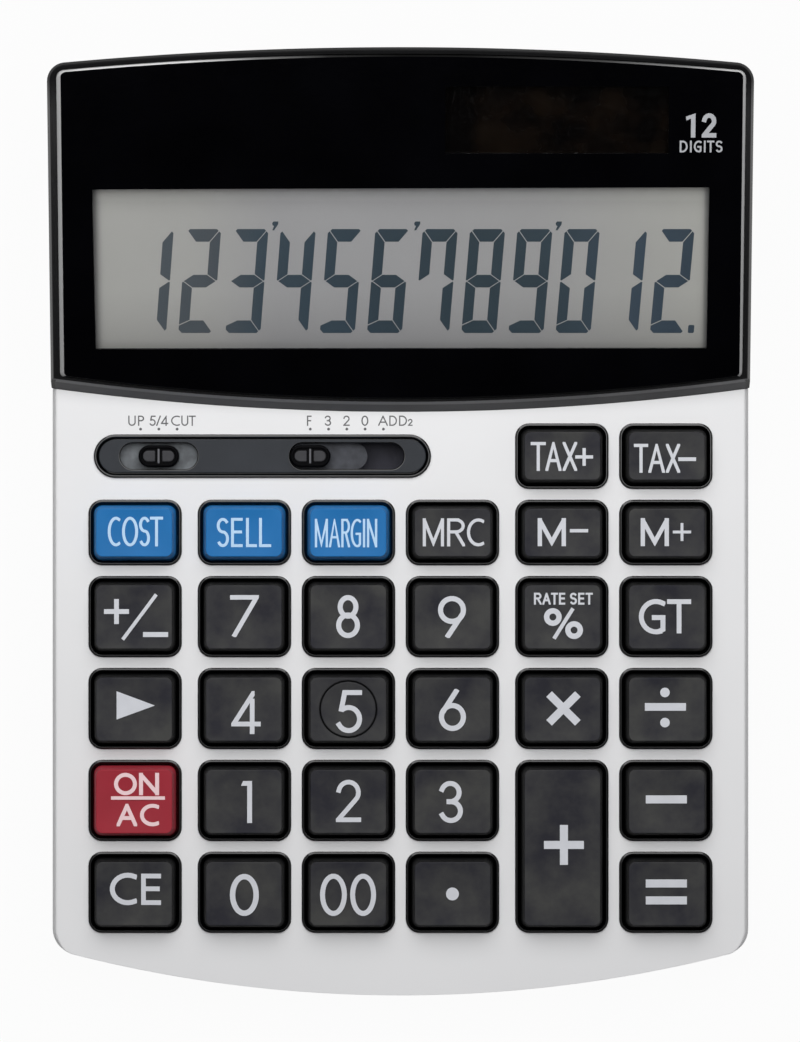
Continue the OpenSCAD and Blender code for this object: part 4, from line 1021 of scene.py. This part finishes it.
shape = Shape()
sheet = sharp([(-SHEET_HALF_W, SHEET_FRONT), (SHEET_HALF_W, SHEET_FRONT), (SHEET_HALF_W, SHEET_REAR),
               (NOTCH_RIGHT, SHEET_REAR), (NOTCH_RIGHT, NOTCH_FRONT), (NOTCH_LEFT, NOTCH_FRONT),
               (NOTCH_LEFT, SHEET_REAR), (-SHEET_HALF_W, SHEET_REAR)])
holes = [circle(x, y, DOME_R - DOME_WALL) for name in KEYS for x, y in dome_places(name)]
for column, row in POSTS:
    length = LOW_RIM_L if row < 2 else HIGH_RIM_L
    x, y = (COLUMN_X[column] + COLUMN_X[column + 1]) / 2, ROW_Y[row] + (length + RIM_GAP) / 2
    holes.append(circle(x, y, POST_R))
shape.slab(sheet, deduped(sheet), holes, SHEET_Z - SHEET_T, SHEET_Z)
build("spring_sheet", shape, [SILICONE], "case", ["dome_sheet"])
lean = math.degrees(math.atan2(DOME_R - DOME_TOP_R, DOME_H))
foot, top, roof = SHEET_Z + 0.005, SHEET_Z + DOME_H, SHEET_Z + DOME_H - DOME_ROOF
for name in KEYS:
    shape = Shape()
    for x, y in dome_places(name):
        outer, outer_top, inner, inner_top = (circle(x, y, r) for r in (
            DOME_R, DOME_TOP_R, DOME_R - DOME_WALL, DOME_TOP_R - DOME_WALL))
        shape.band(outer, foot, outer_top, top, lean)
        shape.fill([outer_top], top)
        shape.fill([inner_top], roof, up=False)
        shape.band(inner_top, roof, inner, foot, 180 + lean)
        shape.band(inner, foot, outer, foot, -90)
    dome = build(name.replace("key_", "dome_"), shape, [SILICONE], "case")
    middle = Vector(key_place(name)[:2] + (SHEET_Z,))
    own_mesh(dome)


# Lettering: strokes in a unit box, as points (x, y) and arcs (cx, cy, rx, ry, start, end)
GLYPHS = {
    "0": [[(.5, .5, .5, .5, 0, 360)]],
    "1": [[(1, 0), (1, 1)], [(0, .84), (1, 1)]],
    "2": [[(.5, .72, .48, .28, 168, -32), (0, 0), (1, 0)]],
    "3": [[(.47, .755, .46, .245, 160, -88)], [(.4, .508), (.5, .254, .5, .254, 90, -155)]],
    "4": [[(.75, 0), (.75, .8)], [(.3, .2), (1, .2)], [(.84, 1.05), (0, .2), (.5, .2)]],
    "5": [[(1, 1), (.32, 1), (.15, .5)], [(.15, .5), (.5, .303, .5, .303, 132, -150)]],
    "6": [[(.5, .31, .5, .31, 0, 360)], [(.66, 1), (.07, .45)]],
    "7": [[(0, 1), (1, 1), (.1, 0)]],
    "8": [[(.5, .755, .42, .245, 0, 360)], [(.5, .27, .5, .27, 0, 360)]],
    "9": [[(.5, .69, .5, .31, 0, 360)], [(.34, 0), (.93, .55)]],
    "+": [[(0, .5), (1, .5)], [(.5, 0), (.5, 1)]],
    "-": [[(0, .5), (1, .5)]],
    "/": [[(0, 0), (1, 1)]],
    "A": [[(0, 0), (.5, 1), (1, 0)], [(.2, .34), (.8, .34)]],
    "C": [[(.7, .5, .7, .5, 64, 296)]],
    "D": [[(.35, 1), (0, 1), (0, 0), (.35, 0)], [(.35, .5, .65, .5, -90, 90)]],
    "E": [[(1, 1), (0, 1), (0, 0), (1, 0)], [(0, .52), (.92, .52)]],
    "F": [[(1, 1), (0, 1), (0, 0)], [(0, .5), (.85, .5)]],
    "G": [[(.68, .5, .68, .5, 62, 285)], [(.86, .03), (1, .08), (1, .47), (.6, .47)]],
    "I": [[(.5, 0), (.5, 1)]],
    "L": [[(0, 1), (0, 0), (1, 0)]],
    "M": [[(0, 0), (0, 1)], [(0, 1), (.5, .08), (1, 1)], [(1, 1), (1, 0)]],
    "N": [[(0, 0), (0, 1)], [(0, 1), (1, 0)], [(1, 0), (1, 1)]],
    "P": [[(0, 0), (0, 1), (.5, 1)], [(.5, .75, .5, .25, 90, -90), (0, .5)]],
    "R": [[(0, 0), (0, 1), (.5, 1)], [(.5, .76, .48, .24, 90, -90), (0, .52)], [(.5, .5), (1, 0)]],
    "S": [[(.5, .76, .5, .24, 38, 270), (.5, .26, .5, .26, 90, -142)]],
    "T": [[(0, 1), (1, 1)], [(.5, 1), (.5, 0)]],
    "U": [[(0, 1), (0, .32), (.5, .32, .5, .32, 180, 360), (1, 1)]],
    "X": [[(0, 0), (1, 1)], [(0, 1), (1, 0)]],
}
GLYPHS.update({"O": GLYPHS["0"], "o": GLYPHS["0"], "x": GLYPHS["X"]})


def stroke_points(stroke, box, half):
    """A stroke's centre line in its box, and whether it is closed."""
    x0, x1, y0, y1 = box
    w, h = x1 - x0 - 2 * half, y1 - y0 - 2 * half
    points = []
    for item in stroke:
        if len(item) == 2:
            points.append(item)
            continue
        cx, cy, rx, ry, start, end = item
        count = max(4, round(abs(end - start) / 12))
        for i in range(count + 1):
            a = math.radians(start + (end - start) * i / count)
            points.append((cx + rx * math.cos(a), cy + ry * math.sin(a)))
    placed = []
    for px, py in points:
        p = Vector((x0 + half + px * w, y0 + half + py * h))
        if not placed or (p - placed[-1]).length > 1e-4:
            placed.append(p)
    closed = len(placed) > 3 and (placed[0] - placed[-1]).length < 1e-4
    return (placed[:-1] if closed else placed), closed


def stroke_quads(points, closed, half, ends=(), meets=()):
    """The stroke's area as quads: pointed joins, square ends, longer ones at given heights,
    none where strokes meet."""
    n = len(points)
    sides = []
    for i, p in enumerate(points):
        before = (p - points[i - 1]).normalized() if i or closed else None
        after = (points[(i + 1) % n] - p).normalized() if i < n - 1 or closed else None
        cap = half * (2 if any(abs(p.y - e) < 1e-5 for e in ends) else 1)
        cap = 0 if any((p - m).length < 1e-4 for m in meets) else cap
        if before is None:
            p, before = p - after * cap, after
        elif after is None:
            p, after = p + before * cap, before
        mean = (before + after).normalized()
        across = Vector((-mean.y, mean.x)) * (half / max(0.3, mean.dot(before)))
        sides.append((p + across, p - across))
    pairs = list(zip(sides, sides[1:] + sides[:1]))[:n if closed else n - 1]
    return [[a[0], a[1], b[1], b[0]] for a, b in pairs]


def disc(cx, cy, r, count=24):
    """A round dot's area."""
    turns = [2 * math.pi * i / count for i in range(count)]
    return [[Vector((cx + r * math.cos(a), cy + r * math.sin(a))) for a in turns]]


def clipped(poly, x0, x1, y0, y1):
    """The part of an area inside a box."""
    for axis, limit, keep in ((0, x0, 1), (0, x1, -1), (1, y0, 1), (1, y1, -1)):
        out = []
        for a, b in zip(poly, poly[1:] + poly[:1]):
            da, db = keep * (a[axis] - limit), keep * (b[axis] - limit)
            if da >= 0:
                out.append(a)
            if (da >= 0) != (db >= 0):
                out.append(a.lerp(b, da / (da - db)))
        poly = out
    return poly


def glyph(letter, box, width, serif=True):
    """A letter's area in its box, as quads."""
    quads = []
    half = width / 2
    x0, x1, y0, y1 = box
    if letter == "1":
        left = x1 - width
        if serif:
            joint = y1
            flag = ((x0, y1 - width), (x1, y1 - width), (x1, y1), (x0 + 0.4 * width, y1))
        else:
            joint = y1 - 1.17 * width
            flag = ((x0, y1 - .75 * width), (x0 + .15 * width, y1 - 1.6 * width), (left, joint), (x1, y1))
        stem = ((left, y0), (x1, y0), (x1, y1), (left, joint))
        return [[Vector(p) for p in part] for part in (stem, flag)]
    if letter == "I":
        x0, x1 = (x0 + x1) / 2 - half, (x0 + x1) / 2 + half
    if letter == "-":
        y0, y1 = (y0 + y1) / 2 - half, (y0 + y1) / 2 + half
    ends = (y0 + half, y1 - half) if letter in "AXMNR" else ()
    meets = stroke_points([(.15, .5)], (x0, x1, y0, y1), half)[0] if letter == "5" else ()
    for k, stroke in enumerate(GLYPHS[letter]):
        points, closed = stroke_points(stroke, (x0, x1, y0, y1), half)
        limit = x0 + 0.75 * (x1 - x0 - width) + width if letter == "4" and k == 2 else x1
        for quad in stroke_quads(points, closed, half, ends, meets):
            quad = quad if letter in "x/" else clipped(quad, x0, limit, y0, y1)
            if len(quad) > 2:
                quads.append(quad)
    return quads


def area(poly):
    """Area inside a path that runs to the left about it; the other way round, it is negative."""
    return sum(a.x * b.y - b.x * a.y for a, b in zip(poly, poly[1:] + poly[:1])) / 2


def covers(poly, p):
    """Whether a point lies in an area."""
    odd = False
    for a, b in zip(poly, poly[1:] + poly[:1]):
        if (a.y > p.y) != (b.y > p.y) and p.x < a.x + (p.y - a.y) / (b.y - a.y) * (b.x - a.x):
            odd = not odd
    return odd


def printed(polys, height, thick=0.03, sink=0.06, offset=(0.0, 0.0)):
    """Flat print in the joined outline of some areas, on a surface of the given height."""
    shape = Shape()
    verts, faces = [], []
    for poly in polys:
        poly = poly if area(poly) > 0 else poly[::-1]
        faces.append(list(range(len(verts), len(verts) + len(poly))))
        verts += poly
    areas = [[verts[i] for i in face] for face in faces]
    co, _, tris, _, _, _ = delaunay_2d_cdt(verts, [], faces, 0, 1e-4)
    tris = [t for t in tris if any(covers(a, (co[t[0]] + co[t[1]] + co[t[2]]) / 3) for a in areas)]
    used = sorted({i for t in tris for i in t})
    place = {}
    for level in (thick, -sink):
        for i in used:
            place[i, level] = len(shape.points)
            p = co[i]
            shape.points.append(Vector((p.x + offset[0], p.y + offset[1], height(p.x, p.y) + level)))
            shape.normals.append(Vector((0, 0, 1 if level > 0 else -1)))
    border = set()
    for a, b, c in tris:
        if area([co[a], co[b], co[c]]) < 0:
            b, c = c, b
        shape.faces.append([place[i, thick] for i in (a, b, c)])
        shape.faces.append([place[i, -sink] for i in (c, b, a)])
        shape.slots += [0, 0]
        for e in ((a, b), (b, c), (c, a)):
            if e[::-1] in border:
                border.remove(e[::-1])
            else:
                border.add(e)
    for a, b in sorted(border):
        d = (co[b] - co[a]).normalized()
        ids = []
        for i, level in ((a, thick), (a, -sink), (b, -sink), (b, thick)):
            ids.append(len(shape.points))
            shape.points.append(shape.points[place[i, level]].copy())
            shape.normals.append(Vector((d.y, -d.x, 0)))
        shape.faces.append(ids)
        shape.slots.append(0)
    return shape


def word(letters, spans, y0, y1, width):
    """Letters with their left and right edges."""
    return [(c, a, b, y0, y1, width) for c, (a, b) in zip(letters, spans)]


def lettering(letters, serif=True):
    """The areas of some letters."""
    return [quad for c, x0, x1, y0, y1, width in letters for quad in glyph(c, (x0, x1, y0, y1), width, serif)]


# Legends: (letter, left, right, low, high, stroke), from the middle of each key
LEGENDS = {
    "key_tax_plus": word("TAX", ((-6.8, -3.55), (-3.65, -.2), (0.05, 3.15)), -3.2, 3.0, .68)
    + [("+", 2.75, 6.55, -2.1, 1.7, .7)],
    "key_tax_minus": word("TAX", ((-7.05, -4.0), (-3.95, -.4), (-.2, 2.85)), -3.6, 2.6, .68)
    + [("-", 2.45, 6.25, -1.08, -.28, .8)],
    "key_cost": word("COST", ((-5.65, -2.95), (-2.6, .85), (1.05, 3.4), (3.4, 6.2)), -2.95, 3.4, .62),
    "key_sell": word("SELL", ((-5.8, -3.2), (-2.75, -.25), (.45, 2.8), (3.25, 5.85)), -3.1, 3.15, .62),
    "key_margin": word(
        "MARGIN", ((-7.15, -4.35), (-4.15, -1.75), (-1.5, .4), (.5, 2.75), (3.1, 3.65), (4.0, 6.2)),
        -3.15, 2.95, .49),
    "key_memory_recall": word("MRC", ((-6.4, -1.85), (-1.2, 2.65), (3.05, 6.75)), -2.95, 3.05, .67),
    "key_memory_minus": [("M", -5.3, .75, -2.9, 3.1, .92), ("-", 1.6, 5.5, 0, .8, .72)],
    "key_memory_plus": [("M", -5.6, .45, -2.9, 3.1, .92), ("+", 1.3, 5.2, -1.8, 2.05, .6)],
    "key_sign": [("+", -6.45, -1.1, -1.5, 3.85, 1.02), ("/", -2.6, 4.9, -4.9, 4.9, .75),
                 ("-", 1.9, 7.3, -4.28, -3.22, 1.06)],
    "key_7": [("7", -2.95, 3.2, -4.3, 4.7, .98)],
    "key_8": [("8", -2.6, 2.5, -4.5, 4.7, 1.08)],
    "key_9": [("9", -3.15, 2.85, -4.5, 4.5, 1.1)],
    "key_percent": word(
        "RATESET",
        ((-6.1, -4.45), (-4.3, -2.5), (-2.45, -.95), (-.75, .6), (1.6, 3.1), (3.35, 4.7), (4.95, 6.5)),
        2.65, 5.2, .43)
    + [("o", -3.95, -.15, -1.9, 1.9, 1.15), ("/", -2.0, 2.45, -4.7, 1.9, .8), ("o", .6, 4.4, -4.7, -.9, 1.15)],
    "key_grand_total": [("G", -6.0, -.3, -3.7, 3.85, 1.05), ("T", .05, 5.2, -3.5, 3.8, 1.02)],
    "key_4": [("4", -2.7, 3.6, -5.3, 3.9, 1.0)],
    "key_5": [("5", -2.8, 2.95, -5.1, 4.1, 1.06)],
    "key_6": [("6", -2.95, 2.85, -4.65, 4.35, 1.1)],
    "key_multiply": [("x", -3.1, 3.55, -3.15, 3.5, 1.69)],
    "key_divide": [("-", -4.7, 4.1, -.3, 1.3, 1.65)],
    "key_on_clear": word("ON", ((-4.3, .6), (1.05, 5.35)), 1.35, 6.15, .85) + [("-", -4.95, 6.6, .4, 1.1, .72)]
    + word("AC", ((-3.75, .65), (1.25, 5.35)), -5.3, -.5, .82),
    "key_1": [("1", -.6, 1.75, -4.6, 4.4, 1.04)],
    "key_2": [("2", -2.65, 2.75, -4.4, 4.65, .98)],
    "key_3": [("3", -2.95, 2.2, -4.6, 4.4, 1.06)],
    "key_add": [("+", -3.95, 4.6, -3.7, 4.85, 1.72)],
    "key_subtract": [("-", -4.5, 4.3, -.4, 1.3, 1.72)],
    "key_clear_entry": [("C", -5.2, .6, -2.45, 4.5, 1.05), ("E", 1.5, 5.75, -2.4, 4.3, 1.0)],
    "key_0": [("0", -3.0, 3.2, -4.75, 4.25, 1.15)],
    "key_00": word("00", ((-6.05, -.3), (.4, 5.95)), -4.75, 4.3, 1.06),
    "key_equals": [("-", -4.5, 4.3, -2.3, -.55, 1.72), ("-", -4.5, 4.3, 1.3, 3.1, 1.72)],
}
DOTS = {"key_divide": ((-.4, 3.6, 1.03), (-.4, -2.85, 1.03)), "key_point": ((-.05, -.05, 1.38),)}
ARROW = [[Vector((-3.75, -2.2)), Vector((4.45, .8)), Vector((-3.75, 3.85))]]

for name in KEYS:
    top = key_cap(name)
    polys = ARROW if name == "key_shift" else lettering(LEGENDS.get(name, ()))
    for dot in DOTS.get(name, ()):
        polys += disc(*dot)
    shape = printed(polys, top.height, offset=(top.x, top.y))
    build(name.replace("key_", "legend_"), shape, [INKS[KEY_TONES.get(name, "black")]], name)

# Lettering of the slide switches, on the face plate
LABEL_LOW, LABEL_HIGH, LABEL_STROKE = 21.3, 23.5, 0.27
SCALE_Y, SCALE_R = 20.6, 0.3
polys = lettering(
    word("UP5/4CUTF320ADD",
         ((-58.5, -56.9), (-56.4, -55.1), (-54.0, -52.6), (-52.5, -51.5), (-51.5, -49.9), (-49.3, -47.4),
          (-47.1, -45.6), (-45.5, -44.0), (-20.1, -19.1), (-16.3, -14.9), (-12.3, -10.9), (-8.4, -6.9),
          (-4.8, -2.7), (-2.4, -.75), (-.3, 1.4)),
         LABEL_LOW, LABEL_HIGH, LABEL_STROKE)
    + word("2", ((1.6, 2.6),), LABEL_LOW, 22.8, 0.24))
for x in [ROUNDING_X + i * DETENT for i in (-1, 0, 1)] + [DECIMAL_REST + i * DETENT for i in range(5)]:
    polys += disc(x, SCALE_Y, SCALE_R, 16)
build("switch_labels", printed(polys, lambda x, y: 0.0, 0.015, 0.05), [DARK_PRINT], "case")

# Lettering on the lens
polys = lettering(
    word("12", ((60.55, 62.6), (63.95, 67.05)), 58.75, 63.9, .95)
    + word("DIGITS", ((59.3, 61.0), (61.45, 61.9), (62.3, 63.95), (64.4, 64.85), (65.1, 66.65), (66.95, 68.4)),
           55.6, 58.1, .38), serif=False)
shape = printed(polys, lambda x, y: LENS_TOP, 0.012, 0.05)
build("lens_label", shape, [LENS_PRINT], "case", matrix=DISPLAY)

# Digits of the display
DIGIT_W, DIGIT_H, SEG_W, SEG_H = 7.5, 22.4, 2.2, 2.72
DIGIT_X, DIGIT_V, DIGIT_PITCH, SLANT = 53.5, 16.53, 10.115, 0.0822
SEG_GAP, CORNER = 0.13, 0.75


def segment_shapes():
    """The seven segments of an upright digit."""
    w, h, t, u, g, c = DIGIT_W, DIGIT_H, SEG_W, SEG_H, SEG_GAP, CORNER
    m, k = h / 2, c / 2
    top = [(c + g, h), (w - c - g, h), (w - k - g, h - k), (w - t - g, h - u), (t + g, h - u), (k + g, h - k)]
    right = [(w, h - c - g), (w - k, h - k - g), (w - t, h - u - g), (w - t, m + u / 2 + g), (w - .25, m + g),
             (w, m + 2 * g)]
    middle = [(.35, m), (t + .1, m + u / 2), (w - t - .1, m + u / 2), (w - .35, m), (w - t - .1, m - u / 2),
              (t + .1, m - u / 2)]
    low = [(0, c), (c, 0), (w - c - g, 0), (w - k - g, k), (w - t - g, u), (t + g, u), (0, u - 1 - g)]
    left = [(0, u - 1 + g), (t, u + g), (t, m - u / 2 - g), (.25, m - g), (0, m - 2 * g)]
    low_right = [(x, h - y) for x, y in right]
    high_left = [(w - x, y) for x, y in right]
    return {"a": top, "b": right, "c": low_right, "d": low, "e": left, "f": high_left, "g": middle}


SEGMENTS = segment_shapes()
LIT = {"0": "abcdef", "1": "bc", "2": "abged", "3": "abgcd", "4": "fgbc", "5": "afgcd", "6": "afgcde",
       "7": "abcf", "8": "abcdefg", "9": "abcdfg"}
MARK_X, MARK_V = (-26.8, 3.52, 33.75), 39.6
MARK = ((-.6, -.95), (-.2, -.95), (.68, .35), (.72, .95), (-.3, .95), (-.6, .6), (-.52, .1), (-.22, 0))
POINT_X = 61.6
POINT = ((.2, 0), (1.1, 0), (1.3, .2), (1.3, 1.55), (1.1, 1.75), (.2, 1.75), (0, 1.55), (0, .2))


def leaning(x, v, points):
    """An upright shape, slanted as the digits are."""
    return [Vector((x + px + SLANT * pv, v + pv)) for px, pv in points]


polys = []
for i, digit in enumerate("123456789012"):
    for s in LIT[digit]:
        polys.append(leaning(DIGIT_X - (11 - i) * DIGIT_PITCH, DIGIT_V, SEGMENTS[s]))
for x in MARK_X:
    polys.append([Vector((x + px, MARK_V + pv)) for px, pv in MARK])
polys.append(leaning(POINT_X, DIGIT_V, POINT))
shape = printed(polys, lambda x, y: LCD_TOP, 0.02, 0.05)
build("lcd_digits", shape, [SEGMENT], "case", matrix=DISPLAY)

# Finishes of the pieces that keep their own shape
FINISHES = {
    "lower_case": BASE, "battery_cover": BASE, "rubber_feet": RUBBER, "case_screws": STEEL, "pcb_screws": STEEL,
    "lcd_screws": STEEL, "main_pcb": BOARD, "controller_chip": RESIN, "power_capacitor": SLEEVE,
    "lcd_frame": FRAME_GREY, "lcd_glass": LCD_CELL, "lcd_reflector": FILM, "lcd_ribbon": RIBBON,
    "solar_cell": SOLAR, "solar_leads": WIRE, "battery_leads": WIRE, "button_cell": STEEL,
    "battery_contact_plus": STEEL, "battery_contact_minus": STEEL, "rounding_wiper": BRASS,
    "decimal_wiper": BRASS,
}
for name, finish in FINISHES.items():
    NODES[name].data.materials.clear()
    NODES[name].data.materials.append(finish)
# Bevel widths of those whose edges show
BEVELS = {"lower_case": 0.6, "battery_cover": 0.3, "rubber_feet": 0.35, "case_screws": 0.12}
for name, width in BEVELS.items():
    weld = NODES[name].modifiers.new("weld", "WELD")
    weld.merge_threshold = 1e-5
    flat = NODES[name].modifiers.new("flat", "DECIMATE")
    flat.decimate_type = "DISSOLVE"
    flat.angle_limit = math.radians(1)
    bevel = NODES[name].modifiers.new("bevel", "BEVEL")
    bevel.width = width / 1000
    bevel.segments = 3
    bevel.limit_method = "ANGLE"
    bevel.angle_limit = math.radians(40)
    bevel.harden_normals = True

# Pale floor: white to the eye and in mirrors, apart from a share that takes the object's shadow
FLOOR_HALF, FLOOR_Z, FLOOR_GLOW = 3.0, -0.0002, 0.96
floor_mesh = bpy.data.meshes.new("floor")
floor_mesh.from_pydata([(sx * FLOOR_HALF, sy * FLOOR_HALF, FLOOR_Z)
                        for sx, sy in ((-1, -1), (1, -1), (1, 1), (-1, 1))], [], [(0, 1, 2, 3)])
floor = bpy.data.objects.new("floor", floor_mesh)
bpy.context.scene.collection.objects.link(floor)
n = Nodes("floor")
n.shader.inputs["Base Color"].default_value = (0.4, 0.4, 0.4, 1)
n.shader.inputs["Roughness"].default_value = 0.9
glow = n.add("ShaderNodeEmission").outputs["Emission"]
rays = n.add("ShaderNodeLightPath").outputs
seen = rays["Is Camera Ray"]
for kind in ("Is Glossy Ray", "Is Transmission Ray"):
    seen = n.math("MAXIMUM", seen, rays[kind])
share = n.math("MULTIPLY", seen, value=FLOOR_GLOW)
n.link(n.mixed(share, n.shader.outputs["BSDF"], glow), n.output.inputs["Surface"])
floor_mesh.materials.append(n.material)

# Soft light from all sides, dark where the lens mirrors it, and white where the camera sees past the floor
SKY = ((0.0, 0.03), (0.3, 0.06), (0.6, 0.22), (0.85, 0.46), (1.0, 0.52))
FLAG = ((0.94, (1, 1, 1, 1)), (0.975, (0.01, 0.01, 0.011, 1)))
FLAG_TILT = math.radians(23)
world = bpy.data.worlds.new("studio")
bpy.context.scene.world = world
world.use_nodes = True
world.node_tree.nodes.clear()
n = Tree(world.node_tree)
ahead = n.add("ShaderNodeTexCoord").outputs["Generated"]
facing = n.add("ShaderNodeVectorMath", operation="DOT_PRODUCT")
facing.inputs[1].default_value = (0.0, -math.sin(FLAG_TILT), math.cos(FLAG_TILT))
n.link(ahead, facing.inputs[0])
sky = n.ramp(n.axis(ahead, "Z"), [(at, (level, level, level * 1.01, 1)) for at, level in SKY])
soft = n.add("ShaderNodeBackground")
n.link(n.product(sky, n.ramp(facing.outputs["Value"], FLAG)), soft.inputs["Color"])
white = n.add("ShaderNodeBackground")
white.inputs["Color"].default_value = (1, 1, 1, 1)
seen = n.add("ShaderNodeLightPath").outputs["Is Camera Ray"]
studio = n.mixed(seen, soft.outputs["Background"], white.outputs["Background"])
n.link(studio, n.add("ShaderNodeOutputWorld").inputs["Surface"])


def softbox(name, at, size, power):
    """A square area lamp, aimed at the middle of the object."""
    data = bpy.data.lights.new(name, "AREA")
    data.shape = "SQUARE"
    data.size = size
    data.energy = power
    lamp = bpy.data.objects.new(name, data)
    bpy.context.scene.collection.objects.link(lamp)
    lamp.location = at
    lamp.rotation_euler = (Vector((0, 0, 0.02)) - Vector(at)).to_track_quat("-Z", "Y").to_euler()


softbox("key_light", at=(-0.01, 0.2, 0.4), size=0.5, power=2.12)
